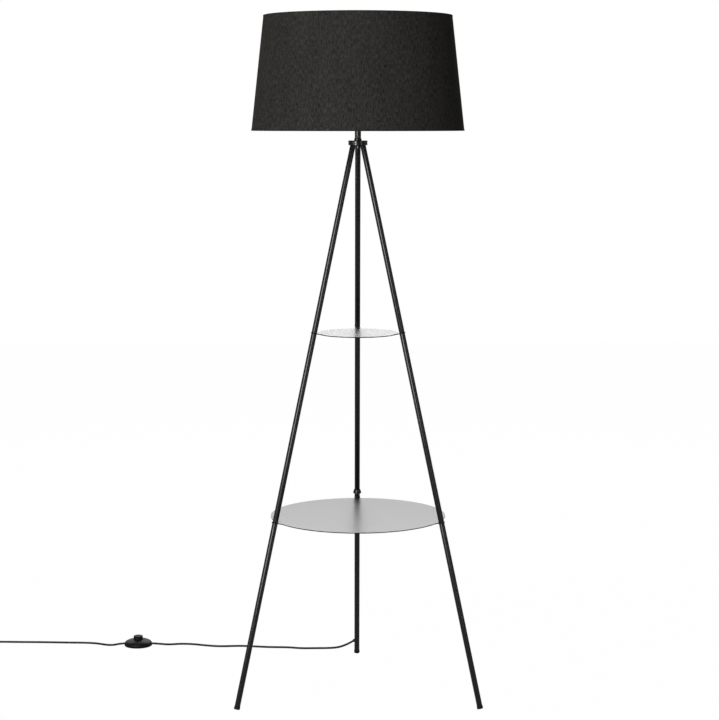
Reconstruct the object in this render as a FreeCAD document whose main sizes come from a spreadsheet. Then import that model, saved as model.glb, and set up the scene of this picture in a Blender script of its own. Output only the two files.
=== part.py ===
import FreeCAD, Part
import math
import os
import Sketcher
from FreeCAD import Placement, Rotation, Vector

# Shelf floor lamp: three leaning tube legs under a small round hub, two round
# sheet shelves clamped in the leg joints, a tapered drum shade on a short stem,
# and a lead that leaves the back leg near the floor, with a foot switch on it.
# The origin is on the floor at the tripod's axis. The back leg stands at +Y.

# Driving dimensions, in millimetres and degrees.
SIZES = {
    # tripod
    "foot_circle_radius": 306.5,      # leg centrelines at the floor
    "hub_circle_radius": 12.7,        # leg centrelines at the hub's underside
    "hub_underside_height": 1220.8,
    "tube_diameter": 12.2,
    "tube_wall": 1.0,
    "lower_shelf_height": 401.0,      # top face
    "upper_shelf_height": 809.4,      # top face
    "fit_gap": 0.1,                   # each side, for threads and push fits
    # shelves
    "sheet_thickness": 2.0,
    "sheet_edge_chamfer": 0.4,
    "lower_shelf_diameter": 389.2,
    "upper_shelf_diameter": 177.4,
    "ear_width": 14.0,
    "ear_overhang": 1.8,              # past the outside of the tube
    "ear_root_inset": 1.2,            # bend line, inside the disc's rim
    # joints in the legs
    "stud_diameter": 8.0,
    "stud_bore": 5.8,                 # the lead passes through the back leg's studs
    "stud_reach": 12.0,
    "plug_length": 12.0,
    "socket_length": 14.0,
    "collar_diameter": 17.9,
    "collar_length": 10.5,
    "collar_rise": 5.4,               # above the lower shelf's ear
    "collar_rim": 3.3,                # from the collar's foot to its widest line
    # feet
    "foot_cap_diameter": 13.2,
    "foot_cap_height": 6.5,
    "foot_cap_floor": 2.5,
    "foot_cap_round": 0.8,
    "foot_flat_depth": 0.3,
    # hub
    "hub_diameter": 42.0,
    "hub_height": 10.2,
    "hub_side_wall": 1.4,
    "hub_top_wall": 1.8,
    "hub_ledge": 1.4,
    "hub_edge_round": 0.8,
    "hub_plate_thickness": 4.6,
    "hub_flange_thickness": 3.9,
    "hub_seam_bevel": 0.25,
    "leg_seat_depth": 2.0,            # how far a leg enters the hub, along the leg
    "hub_stud_reach": 2.6,
    "end_cap_diameter": 10.8,
    "end_cap_height": 9.0,
    "end_cap_round": 2.2,
    "end_cap_shank": 3.6,
    # stem
    "pipe_diameter": 10.0,
    "pipe_bore": 7.6,
    "window_width": 5.2,
    "lock_ring_diameter": 16.4,
    "lock_ring_height": 4.5,
    "stem_diameter": 13.8,
    "stem_wall": 1.3,
    "stem_length": 32.6,
    # lampholder
    "holder_radius": 19.6,
    "holder_wall": 2.0,
    "holder_foot_radius": 9.5,
    "holder_foot_height": 3.0,
    "holder_boss_radius": 8.0,
    "holder_boss_height": 12.0,
    "holder_cone_wall": 1.6,          # measured upwards
    "holder_shoulder": 15.0,
    "holder_ledge_rise": 0.8,
    "holder_cap_height": 20.0,
    "holder_shell_height": 30.0,
    "holder_shell_bevel": 1.0,
    "screw_shell_radius": 14.3,
    "screw_shell_wall": 0.55,
    "screw_shell_height": 22.0,
    "screw_shell_mouth_radius": 8.3,
    "contact_thickness": 0.5,
    "contact_width": 5.0,
    "contact_rise": 3.0,
    "contact_reach": 6.6,
    "contact_foot": 4.6,
    "contact_shoulder": 3.3,
    "clamp_ring_radius": 27.0,
    "clamp_ring_height": 4.2,
    # shade
    "shade_drop": 41.9,               # its lower edge, below the fitter's washer
    "shade_height": 247.9,
    "shade_bottom_diameter": 464.0,
    "shade_top_diameter": 409.2,
    "shade_wall": 1.1,
    "hem_height": 3.0,
    "hem_thickness": 0.4,
    "hem_lip": 4.6,
    "hem_lip_thickness": 0.8,
    "ring_wire": 3.2,
    "ring_gap": 0.2,
    "arm_wire": 3.2,
    "arm_bend_radius": 8.0,
    "arm_foot_length": 14.0,
    "arm_head_length": 12.0,
    "arm_weld_depth": 0.3,
    "fitter_radius": 34.0,
    "fitter_thickness": 1.6,
    # bulb
    "bulb_length": 110.0,
    "bulb_globe_radius": 30.0,
    "bulb_globe_base": 71.0,
    "bulb_cap_radius": 13.2,
    "bulb_cap_root_radius": 12.4,
    "bulb_cap_top": 26.0,
    "bulb_neck_radius": 15.4,
    "bulb_thread_pitch": 3.62,
    "bulb_cap_band": 5.6,
    "bulb_eyelet_radius": 4.8,
    "bulb_eyelet_height": 1.3,
    "running_gap": 0.3,               # between pieces that move on each other
    # lead
    "cord_diameter": 5.0,
    "core_diameter": 2.0,
    "core_offset": 1.2,
    "cord_exit_height": 36.6,         # where the lead meets the back leg's centreline
    "cord_exit_drop": 30.0,           # degrees below level
    "cord_elbow_radius": 5.0,
    "bush_diameter": 7.0,
    "bush_bevel": 0.8,
    "bush_reach": 10.4,               # from the leg's centreline
    "first_run": 9.4,                 # straight lead beyond the bush
    "coil_mean_radius": 27.5,
    "coil_pitch": 5.5,
    "coil_turns_each_way": 3.0,
    "coil_climb_turns": 0.5,          # round the turn where the spiral reverses
    "coil_layer_rise": 5.6,
    "tie_width": 8.0,
    "tie_thickness": 0.7,
    "tie_gap": 0.3,
    # plug
    "plug_face_width": 35.3,
    "plug_mid_width": 30.0,
    "plug_back_width": 16.0,
    "plug_back_height": 11.0,
    "plug_height": 13.7,
    "plug_corner": 4.6,
    "plug_back_corner": 2.8,
    "plug_body_length": 35.0,
    "plug_shoulder": 14.0,
    "plug_relief_length": 22.0,
    "plug_relief_radius": 5.2,
    "plug_relief_tip_radius": 3.3,
    "pin_diameter": 4.0,
    "pin_length": 19.0,
    "pin_spacing": 18.6,
    "pin_tip_round": 1.2,
    # foot switch
    "switch_radius": 33.5,
    "switch_bottom": 1.2,
    "switch_rim_height": 5.0,
    "switch_rim_round": 7.5,
    "switch_rim_turn": 60.0,
    "switch_top": 16.4,
    "switch_wall": 2.2,
    "switch_roof_fall": 1.3,          # the roof's underside, from the hole to the posts
    "switch_shoulder_inset": 1.8,
    "switch_shoulder_drop": 2.0,
    "switch_port_height": 5.8,
    "switch_plate_thickness": 1.8,
    "post_circle_radius": 22.0,
    "post_diameter": 6.0,
    "screw_diameter": 2.8,
    "screw_length": 8.0,
    "screw_head_diameter": 5.2,
    "screw_head_height": 0.8,
    "pad_diameter": 8.0,
    "button_diameter": 22.2,
    "button_top": 25.0,
    "button_round": 2.6,
    "button_travel": 4.0,
    "button_flange": 1.5,
    "button_flange_height": 1.3,
    "spring_bore_radius": 5.2,
    "spring_mean_radius": 4.0,
    "spring_wire": 0.7,
    "spring_turns": 5.0,
    "plunger_radius": 2.0,
    "block_length": 26.0,
    "block_width": 15.0,
    "block_height": 3.4,
    "terminal_length": 4.0,
    "terminal_width": 9.0,
    "terminal_thickness": 0.6,
}

LEG_AZIMUTHS = {"left": 210.0, "right": 330.0, "back": 90.0}

# Routes of the free lead, chosen by hand: X, Y and height of the lead's centre.
ROUTE_LEG_TO_SWITCH = [
    (-27.3, 301.2, 20.9), (-37.2, 308.8, 15.0), (-48.9, 320.8, 9.0),
    (-66.5, 334.5, 3.9), (-92.6, 339.2, 2.5),
    (-136.3, 337.7, 2.5), (-165.7, 348.0, 2.5), (-209.5, 349.3, 2.5),
    (-238.9, 354.2, 2.5), (-283.2, 362.8, 2.5), (-334.0, 356.9, 2.5),
    (-371.3, 367.3, 2.5), (-401.5, 379.6, 2.5), (-431.1, 382.6, 2.5),
    (-459.7, 374.5, 2.7), (-481.0, 376.0, 4.2), (-501.0, 375.5, 5.8),
]
SWITCH_CENTRE = (-533.9, 375.5)
ROUTE_SWITCH_TO_COIL = [
    (-567.0, 375.5, 5.8), (-580.5, 375.0, 4.7), (-593.0, 371.2, 3.0),
    (-607.5, 372.2, 2.5), (-622.0, 380.0, 2.5), (-641.0, 389.6, 2.5),
    (-669.0, 394.3, 2.5), (-715.0, 396.3, 2.5), (-765.0, 400.2, 2.5),
    (-820.0, 401.9, 2.5), (-872.0, 404.2, 2.6), (-909.0, 402.4, 3.5),
]
COIL_CENTRE = (-940.0, 438.15)
SWITCH_CORD_END = 14.0                # from the switch's centre to each lead's end
TAIL_DROP_RUN = 30.0                  # level distance in which the tail comes down

THREAD_RIDGES = 4                     # on the bulb's cap
THREAD_RIDGE = (0.3, 0.55, 0.85)      # where a ridge rises, falls and ends, in pitches
ARC_SHARE = 0.45                      # of a run, that the arc at its end may take up
STATIONS_PER_TURN = 4                 # of a winding, with two arcs between each
SAME_STRETCH = 2.2                    # diameters along a lead that don't count as a turn
VOLUME_TOLERANCE = 0.01


class Size:
    """A number that remembers the sheet formula it comes from."""

    def __init__(self, value, formula):
        self.value = float(value)
        self.formula = formula

    def __add__(self, other):
        other = as_size(other)
        return Size(self.value + other.value, f"({self.formula} + {other.formula})")

    def __sub__(self, other):
        other = as_size(other)
        return Size(self.value - other.value, f"({self.formula} - {other.formula})")

    def __mul__(self, other):
        other = as_size(other)
        return Size(self.value * other.value, f"({self.formula} * {other.formula})")

    def __truediv__(self, other):
        other = as_size(other)
        return Size(self.value / other.value, f"({self.formula} / {other.formula})")

    def __radd__(self, other):
        return as_size(other) + self

    def __rsub__(self, other):
        return as_size(other) - self

    def __rmul__(self, other):
        return as_size(other) * self

    def __neg__(self):
        return as_size(0) - self


def as_size(number):
    return number if isinstance(number, Size) else Size(number, f"{float(number):.9g}")


def sine(angle):
    return Size(math.sin(math.radians(angle.value)), f"sin({angle.formula})")


def cosine(angle):
    return Size(math.cos(math.radians(angle.value)), f"cos({angle.formula})")


def slope_angle(rise, run):
    ratio = rise / run
    return Size(math.degrees(math.atan(ratio.value)), f"atan({ratio.formula})")


class Sizes:
    """The sheet's cells, read as attributes."""

    def __init__(self, document, values):
        self.sheet = document.addObject("Spreadsheet::Sheet", "Sizes")
        for row, (alias, number) in enumerate(values.items(), start=1):
            self.sheet.set(f"A{row}", alias)
            self.sheet.set(f"B{row}", repr(number))
            self.sheet.setAlias(f"B{row}", alias)
            setattr(self, alias, Size(number, f"Sizes.{alias}"))


doc = FreeCAD.newDocument("ShelfFloorLamp")
S = Sizes(doc, SIZES)
doc.recompute()
nodes = []


def keep(thing):
    """Mark an object as a sub-part that is written to its own file."""
    nodes.append(thing)
    return thing


# ---- small tools for bodies, sketches and placements ----

def bind(thing, name, size):
    size = as_size(size)
    thing.setExpression(name, size.formula)


def place(thing, x=0, y=0, z=0, axis=(0, 0, 1), angle=0):
    base = [as_size(value) for value in (x, y, z)]
    angle = as_size(angle)
    start = Vector(*[part.value for part in base])
    thing.Placement = Placement(start, Rotation(Vector(*axis), angle.value))
    for letter, part in zip("xyz", base):
        if "Sizes" in part.formula:
            bind(thing, f".Placement.Base.{letter}", part)
    if "Sizes" in angle.formula:
        bind(thing, ".Placement.Rotation.Angle", angle)
    return thing


def new_body(label):
    body = doc.addObject("PartDesign::Body", label)
    body.Label = label
    return body


def origin_part(body, role):
    return next(item for item in body.Origin.OriginFeatures if item.Role == role)


def new_sketch(body, plane, name, base=(0, 0, 0), axis=(0, 0, 1), angle=0):
    """A sketch on one of the body's own planes, moved and turned off it by sizes."""
    sketch = body.newObject("Sketcher::SketchObject", f"{body.Name}_{name}")
    sketch.AttachmentSupport = [(origin_part(body, plane), "")]
    sketch.MapMode = "FlatFace"
    base = [as_size(value) for value in base]
    angle = as_size(angle)
    start = Vector(*[part.value for part in base])
    sketch.AttachmentOffset = Placement(start, Rotation(Vector(*axis), angle.value))
    for letter, part in zip("xyz", base):
        if "Sizes" in part.formula:
            bind(sketch, f".AttachmentOffset.Base.{letter}", part)
    if "Sizes" in angle.formula:
        bind(sketch, ".AttachmentOffset.Rotation.Angle", angle)
    return sketch


def pin_coordinate(sketch, geometry, point, direction, size):
    """Hold one coordinate of a sketch point at a size from the origin."""
    size = as_size(size)
    if "Sizes" not in size.formula and size.value == 0:
        line = -2 if direction == "X" else -1
        sketch.addConstraint(Sketcher.Constraint("PointOnObject", geometry, point, line))
        return
    constraint = Sketcher.Constraint(f"Distance{direction}", -1, 1, geometry, point, size.value)
    index = sketch.addConstraint(constraint)
    if "Sizes" in size.formula:
        bind(sketch, f"Constraints[{index}]", size)


def add_circle(sketch, x, y, diameter):
    x, y, diameter = as_size(x), as_size(y), as_size(diameter)
    circle = Part.Circle(Vector(x.value, y.value, 0), Vector(0, 0, 1), diameter.value / 2)
    index = sketch.addGeometry(circle, False)
    if "Sizes" in x.formula or "Sizes" in y.formula or x.value or y.value:
        pin_coordinate(sketch, index, 3, "X", x)
        pin_coordinate(sketch, index, 3, "Y", y)
    else:
        sketch.addConstraint(Sketcher.Constraint("Coincident", index, 3, -1, 1))
    across = sketch.addConstraint(Sketcher.Constraint("Diameter", index, diameter.value))
    bind(sketch, f"Constraints[{across}]", diameter)


def add_outline(sketch, corners, closed=True):
    """A closed outline or an open path. A corner is (x, y), or (x, y, centre x, centre y,
    turn) where an arc leads to it, turn being 1 for anticlockwise and -1 for clockwise."""
    sizes = [[as_size(value) for value in corner[:4]] for corner in corners]
    first_edge = 0 if closed else 1
    edges = [add_edge(sketch, sizes[index - 1], sizes[index], corners[index][4:])
             for index in range(first_edge, len(corners))]
    if not closed:
        pin_coordinate(sketch, *edges[0][:2], "X", sizes[0][0])
        pin_coordinate(sketch, *edges[0][:2], "Y", sizes[0][1])
    for order, (number, _, last) in enumerate(edges):
        before, here = sizes[order + first_edge - 1], sizes[order + first_edge]
        if closed or order + 1 < len(edges):
            following = edges[(order + 1) % len(edges)]
            sketch.addConstraint(
                Sketcher.Constraint("Coincident", number, last, *following[:2]))
        pin_coordinate(sketch, number, last, "X", here[0])
        pin_coordinate(sketch, number, last, "Y", here[1])
        if len(here) > 2:
            run, rise = here[0].value - before[0].value, here[1].value - before[1].value
            direction, centre = ("Y", here[3]) if abs(run) > abs(rise) else ("X", here[2])
            pin_coordinate(sketch, number, 3, direction, centre)
    return sketch


def add_edge(sketch, start_sizes, end_sizes, turn):
    """A line, or an arc where there is a turn. Returns it with its first and last points."""
    start = Vector(start_sizes[0].value, start_sizes[1].value, 0)
    end = Vector(end_sizes[0].value, end_sizes[1].value, 0)
    if not turn:
        return sketch.addGeometry(Part.LineSegment(start, end), False), 1, 2
    centre = Vector(end_sizes[2].value, end_sizes[3].value, 0)
    anticlockwise = turn[0] > 0
    ends = (start, end) if anticlockwise else (end, start)
    angles = [math.atan2(point.y - centre.y, point.x - centre.x) for point in ends]
    if angles[1] <= angles[0]:
        angles[1] += 2 * math.pi
    circle = Part.Circle(centre, Vector(0, 0, 1), (start - centre).Length)
    number = sketch.addGeometry(Part.ArcOfCircle(circle, *angles), False)
    return (number, 1, 2) if anticlockwise else (number, 2, 1)


def revolve(body, corners, name="profile"):
    """Turn a closed outline in the body's XZ plane about its Z axis."""
    sketch = add_outline(new_sketch(body, "XZ_Plane", name), corners)
    turn = body.newObject("PartDesign::Revolution", f"{body.Name}_turned")
    turn.Profile = sketch
    turn.ReferenceAxis = (sketch, ["V_Axis"])
    turn.Angle = 360
    return turn


def turned(label, corners, **position):
    body = new_body(label)
    revolve(body, corners)
    return place(body, **position)


def pad(body, sketch, length, name="pad", both_ways=False):
    feature = body.newObject("PartDesign::Pad", f"{body.Name}_{name}")
    feature.Profile = sketch
    feature.Midplane = both_ways
    bind(feature, "Length", length)
    return feature


def pocket(body, sketch, length=None, name="pocket", upwards=False):
    """Cut downwards from the sketch, upwards, or right through where no length is given."""
    feature = body.newObject("PartDesign::Pocket", f"{body.Name}_{name}")
    feature.Profile = sketch
    if length is None:
        feature.Type = "ThroughAll"
        feature.Midplane = True
    else:
        bind(feature, "Length", length)
        feature.Reversed = upwards
    return feature


def three_times(body, features, name="three"):
    pattern = body.newObject("PartDesign::PolarPattern", f"{body.Name}_{name}")
    pattern.Originals = features
    pattern.Axis = (origin_part(body, "Z_Axis"), [""])
    pattern.Angle = 360
    pattern.Occurrences = 3
    body.Tip = pattern
    return pattern


def tube(label, outer, bore, length, **position):
    body = new_body(label)
    sketch = new_sketch(body, "XY_Plane", "section")
    add_circle(sketch, 0, 0, outer)
    add_circle(sketch, 0, 0, bore)
    pad(body, sketch, length)
    return place(body, **position)


def group(label, members):
    """Identical pieces that share a node, each still its own solid."""
    compound = doc.addObject("Part::Compound", label)
    compound.Label = label
    compound.Links = members
    return keep(compound)


def shape_part(label, shape):
    feature = doc.addObject("Part::Feature", label)
    feature.Label = label
    feature.Shape = shape
    return keep(feature)


# ---- the legs' own geometry ----

lean = slope_angle(S.foot_circle_radius - S.hub_circle_radius, S.hub_underside_height)
lean_sine = sine(lean)
lean_cosine = cosine(lean)


def leg_place(azimuth, along):
    """Where a piece on a leg's centreline goes: along is from the floor, up the leg."""
    east, north = math.cos(math.radians(azimuth)), math.sin(math.radians(azimuth))
    out = S.foot_circle_radius - along * lean_sine
    return {"x": out * round(east, 9), "y": out * round(north, 9), "z": along * lean_cosine,
            "axis": (north, -east, 0), "angle": lean}


def leg_point(azimuth, along):
    spot = leg_place(azimuth, along)
    return Vector(*[as_size(spot[letter]).value for letter in "xyz"])


def ear_plane(shelf_diameter, shelf_height):
    """Along the leg to the underside of a shelf's ear, and from its bend line to the leg."""
    reach = S.foot_circle_radius - (shelf_diameter / 2 - S.ear_root_inset)
    height = shelf_height - S.sheet_thickness
    along = lean_sine * reach + lean_cosine * height
    across = lean_cosine * reach - lean_sine * height
    return along, across


lower_joint, lower_ear_reach = ear_plane(S.lower_shelf_diameter, S.lower_shelf_height)
upper_joint, upper_ear_reach = ear_plane(S.upper_shelf_diameter, S.upper_shelf_height)
cap_radius = S.foot_cap_diameter / 2
foot_end = ((S.foot_cap_round - S.foot_flat_depth + (cap_radius - S.foot_cap_round) * lean_sine)
            / lean_cosine - S.foot_cap_round)
leg_start = foot_end + S.foot_cap_floor
leg_end = S.hub_underside_height / lean_cosine + S.leg_seat_depth
tube_bore = S.tube_diameter - 2 * S.tube_wall
insert_diameter = tube_bore - 2 * S.fit_gap
stud_hole = S.stud_diameter + 2 * S.fit_gap

LEG_SECTIONS = {
    "bottom": (leg_start, lower_joint),
    "middle": (lower_joint + S.sheet_thickness, upper_joint),
    "top": (upper_joint + S.sheet_thickness, leg_end),
}


def make_legs():
    for side, azimuth in LEG_AZIMUTHS.items():
        for name, (start, end) in LEG_SECTIONS.items():
            label = f"leg_{side}_{name}"
            with_lead = label == "leg_back_bottom"
            leg = tube(f"{label}_blank" if with_lead else label, S.tube_diameter, tube_bore,
                       end - start, **leg_place(azimuth, start))
            keep(with_lead_hole(label, leg) if with_lead else leg)


def lead_exit():
    """The lead's sloping way out of the back leg, towards the left."""
    spot = leg_place(LEG_AZIMUTHS["back"], S.cord_exit_height / lean_cosine)
    return {"x": spot["x"], "y": spot["y"], "z": spot["z"],
            "axis": (0, -1, 0), "angle": S.cord_exit_drop + 90}


def with_lead_hole(label, leg):
    """The leg with a sloping hole in its left wall for the bush."""
    drill = doc.addObject("Part::Cylinder", "lead_drill")
    bind(drill, "Radius", S.bush_diameter / 2 + S.fit_gap)
    bind(drill, "Height", 2 * S.tube_diameter)
    place(drill, **lead_exit())
    return cut(label, leg, drill)


def cut(label, base, tool):
    result = doc.addObject("Part::Cut", label)
    result.Label = label
    result.Base = base
    result.Tool = tool
    return result


def make_foot_caps():
    """Caps over the square-cut leg ends, with a small flat where they stand."""
    bore = S.tube_diameter / 2 + S.fit_gap
    profile = [
        (0, 0), (cap_radius - S.foot_cap_round, 0),
        (cap_radius, S.foot_cap_round, cap_radius - S.foot_cap_round, S.foot_cap_round, 1),
        (cap_radius, S.foot_cap_height), (bore, S.foot_cap_height),
        (bore, S.foot_cap_floor), (0, S.foot_cap_floor),
    ]
    for side, azimuth in LEG_AZIMUTHS.items():
        spot = leg_place(azimuth, foot_end)
        blank = turned(f"foot_cap_{side}_blank", profile, **spot)
        floor = doc.addObject("Part::Box", f"floor_under_{side}")
        for edge in ("Length", "Width", "Height"):
            bind(floor, edge, 3 * S.foot_cap_diameter)
        half = 1.5 * S.foot_cap_diameter
        place(floor, x=spot["x"] - half, y=spot["y"] - half, z=-2 * half)
        keep(cut(f"foot_cap_{side}", blank, floor))


def make_joint(name, along, reach):
    """Pressed studs in the upper tubes and threaded sockets in the lower ones."""
    studs, sockets = [], []
    inner, stud = insert_diameter / 2, S.stud_diameter / 2
    for side, azimuth in LEG_AZIMUTHS.items():
        bore = S.stud_bore / 2 if side == "back" else 0
        plug_end = S.plug_length
        studs.append(turned(
            f"stud_{name}_{side}",
            [(bore, -reach), (stud, -reach), (stud, 0), (inner, 0), (inner, plug_end),
             (bore, plug_end)],
            **leg_place(azimuth, along + S.sheet_thickness)))
        sockets.append(tube(f"socket_{name}_{side}", insert_diameter, stud_hole,
                            S.socket_length, **leg_place(azimuth, along - S.socket_length)))
    group(f"joint_studs_{name}", studs)
    group(f"joint_sockets_{name}", sockets)


def make_hub_studs():
    """Studs pressed into the leg tops that screw up into the hub's plate."""
    studs = []
    inner, stud = insert_diameter / 2, S.stud_diameter / 2
    for side, azimuth in LEG_AZIMUTHS.items():
        bore = S.stud_bore / 2 if side == "back" else 0
        studs.append(turned(
            f"stud_hub_{side}",
            [(bore, -S.plug_length), (inner, -S.plug_length), (inner, 0), (stud, 0),
             (stud, S.hub_stud_reach), (bore, S.hub_stud_reach)],
            **leg_place(azimuth, leg_end)))
    group("hub_studs", studs)


def make_shelf(label, diameter, height, ear_reach):
    """A round sheet with three ears bent up square to the legs."""
    shelf = new_body(label)
    disc = new_sketch(shelf, "XY_Plane", "disc")
    add_circle(disc, 0, 0, diameter)
    sheet = pad(shelf, disc, S.sheet_thickness, name="sheet")
    doc.recompute()
    rims = [f"Edge{number}" for number, edge in enumerate(sheet.Shape.Edges, start=1)
            if edge.Curve.TypeId == "Part::GeomCircle"]
    softened = shelf.newObject("PartDesign::Chamfer", f"{label}_rim")
    softened.Base = (sheet, rims)
    bind(softened, "Size", S.sheet_edge_chamfer)
    outline = new_sketch(shelf, "XY_Plane", "ear",
                         base=(diameter / 2 - S.ear_root_inset, 0, 0),
                         axis=(0, -1, 0), angle=lean)
    half = S.ear_width / 2
    tip = ear_reach + S.tube_diameter / 2 + S.ear_overhang - half
    add_outline(outline, [(0, -half), (tip, -half), (tip, half, tip, 0, 1), (0, half)])
    add_circle(outline, ear_reach, 0, stud_hole)
    ear = pad(shelf, outline, S.sheet_thickness, name="ear_plate")
    doc.recompute()
    three_times(shelf, [ear])
    keep(place(shelf, z=height - S.sheet_thickness, angle=90))


def make_back_collar():
    """The turned lock collar that stands on the back leg above the lower shelf."""
    bore = S.tube_diameter / 2 + S.fit_gap
    widest = S.collar_diameter / 2
    neck = S.tube_diameter / 2 + S.tube_wall
    keep(turned(
        "back_leg_collar",
        [(bore, 0), (neck, 0), (widest, S.collar_rim), (widest, S.collar_rim + S.tube_wall),
         (neck, S.collar_length), (bore, S.collar_length)],
        **leg_place(LEG_AZIMUTHS["back"], lower_joint + S.sheet_thickness + S.collar_rise)))


# ---- hub and stem ----

hub_top_height = S.hub_underside_height + S.hub_height
stem_foot_height = hub_top_height + S.lock_ring_height
holder_height = stem_foot_height + S.stem_length
pipe_hole = S.pipe_diameter / 2 + S.fit_gap
cavity_middle = (S.hub_plate_thickness + S.hub_height - S.hub_top_wall) / 2


def make_hub():
    rim = S.hub_diameter / 2
    pocket_radius = rim - S.hub_side_wall
    ledge = pocket_radius - S.hub_ledge
    rounding = S.hub_edge_round
    flange, seam = S.hub_flange_thickness, S.hub_seam_bevel
    keep(turned(
        "hub_cover",
        [(pocket_radius, flange), (rim - seam, flange), (rim, flange + seam),
         (rim, S.hub_height - rounding),
         (rim - rounding, S.hub_height, rim - rounding, S.hub_height - rounding, 1),
         (pipe_hole, S.hub_height), (pipe_hole, S.hub_height - S.hub_top_wall),
         (ledge, S.hub_height - S.hub_top_wall), (ledge, S.hub_plate_thickness),
         (pocket_radius, S.hub_plate_thickness)],
        z=S.hub_underside_height))
    make_hub_plate(pocket_radius - S.fit_gap)
    shank = S.pipe_bore / 2 - S.fit_gap
    head = S.end_cap_diameter / 2
    below = S.end_cap_height
    keep(turned(
        "hub_end_cap",
        [(0, -below), (head - S.end_cap_round, -below),
         (head, S.end_cap_round - below, head - S.end_cap_round, S.end_cap_round - below, 1),
         (head, 0), (shank, 0), (shank, S.end_cap_shank), (0, S.end_cap_shank)],
        z=S.hub_underside_height))


def make_hub_plate(radius):
    """The plate that holds the legs, with a sloping seat and a threaded hole for each."""
    plate = new_body("hub_plate")
    rim, bevel = S.hub_diameter / 2, S.hub_edge_round / 2
    flange, seam = S.hub_flange_thickness, S.hub_seam_bevel
    revolve(plate, [
        (pipe_hole, 0), (rim - bevel, 0), (rim, bevel), (rim, flange - seam),
        (rim - seam, flange), (radius, flange), (radius, S.hub_plate_thickness),
        (pipe_hole, S.hub_plate_thickness)])
    seat_centre = (S.hub_circle_radius - S.leg_seat_depth * lean_sine, 0,
                   S.leg_seat_depth * lean_cosine)
    seat = new_sketch(plate, "XY_Plane", "seat", base=seat_centre, axis=(0, -1, 0), angle=lean)
    add_circle(seat, 0, 0, S.tube_diameter + 2 * S.fit_gap)
    seat_cut = pocket(plate, seat, 3 * S.leg_seat_depth, name="seat_cut")
    hole = new_sketch(plate, "XY_Plane", "hole", base=seat_centre, axis=(0, -1, 0), angle=lean)
    add_circle(hole, 0, 0, stud_hole)
    hole_cut = pocket(plate, hole, 2 * S.hub_plate_thickness, name="hole_cut", upwards=True)
    doc.recompute()
    three_times(plate, [seat_cut, hole_cut])
    keep(place(plate, z=S.hub_underside_height, angle=90))


def make_stem():
    pipe_top = holder_height + S.holder_boss_height - S.hub_underside_height
    pipe = tube("stem_pipe", S.pipe_diameter, S.pipe_bore, pipe_top, z=S.hub_underside_height)
    window = new_sketch(pipe, "XZ_Plane", "window")
    half = S.window_width / 2
    low, high = S.hub_plate_thickness, S.hub_height - S.hub_top_wall
    add_outline(window, [(-half, low), (half, low), (half, high), (-half, high)])
    pocket(pipe, window, S.pipe_diameter, name="lead_window")
    keep(pipe)
    keep(tube("stem_lock_ring", S.lock_ring_diameter, 2 * pipe_hole, S.lock_ring_height,
              z=hub_top_height))
    keep(tube("stem_tube", S.stem_diameter, S.stem_diameter - 2 * S.stem_wall, S.stem_length,
              z=stem_foot_height))


# ---- lampholder and bulb ----

holder_split = holder_height + S.holder_cap_height
fitter_height = holder_split + S.fitter_thickness + S.clamp_ring_height + S.fit_gap
shade_base = fitter_height - S.shade_drop
holder_ledge = S.holder_shoulder + S.holder_ledge_rise
shell_floor = S.holder_cap_height + S.holder_wall
contact_top = shell_floor + S.contact_rise + S.contact_thickness
bulb_height = holder_height + contact_top + S.running_gap


def make_lampholder():
    outer, wall = S.holder_radius, S.holder_wall
    foot, low = S.holder_foot_radius, S.holder_foot_height
    inner = outer - wall
    boss = S.holder_boss_radius
    shoulder = S.holder_shoulder
    top = S.holder_cap_height
    keep(turned(
        "lampholder_cap",
        [(pipe_hole, 0), (foot, 0), (foot, low), (outer, shoulder), (outer, top),
         (inner, top), (inner, holder_ledge), (boss, low + S.holder_cone_wall),
         (boss, S.holder_boss_height), (pipe_hole, S.holder_boss_height)],
        z=holder_height))
    bore = S.screw_shell_radius + 2 * S.fit_gap
    flange = S.fitter_thickness
    tall = S.holder_shell_height
    bevel = S.holder_shell_bevel
    keep(turned(
        "lampholder_shell",
        [(bore, 0), (outer + wall, 0), (outer + wall, flange), (outer, flange),
         (outer, tall - bevel), (outer - bevel, tall), (bore, tall)],
        z=holder_split))
    seat = S.holder_cap_height - S.fit_gap
    keep(turned(
        "lampholder_insulator",
        [(0, holder_ledge), (inner - S.fit_gap, holder_ledge), (inner - S.fit_gap, seat),
         (S.screw_shell_radius, seat), (S.screw_shell_radius, shell_floor), (0, shell_floor)],
        z=holder_height))
    mouth = S.screw_shell_mouth_radius
    skin = S.screw_shell_wall
    high = shell_floor + S.screw_shell_height
    keep(turned(
        "lampholder_screw_shell",
        [(mouth, shell_floor), (S.screw_shell_radius, shell_floor),
         (S.screw_shell_radius, high), (S.screw_shell_radius - skin, high),
         (S.screw_shell_radius - skin, shell_floor + skin), (mouth, shell_floor + skin)],
        z=holder_height))
    make_centre_contact()


def make_centre_contact():
    """The sprung tongue under the bulb's eyelet."""
    contact = new_body("lampholder_contact")
    side = new_sketch(contact, "XZ_Plane", "side")
    reach, thin, rise = S.contact_reach, S.contact_thickness, S.contact_rise
    foot_end, shoulder = S.contact_foot - reach, S.contact_shoulder
    add_outline(side, [
        (-reach, 0), (foot_end, 0), (shoulder, rise), (reach, rise - thin),
        (reach, rise), (shoulder, rise + thin), (foot_end - thin, thin),
        (-reach, thin)])
    pad(contact, side, S.contact_width, both_ways=True)
    keep(place(contact, z=holder_height + shell_floor))


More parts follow.
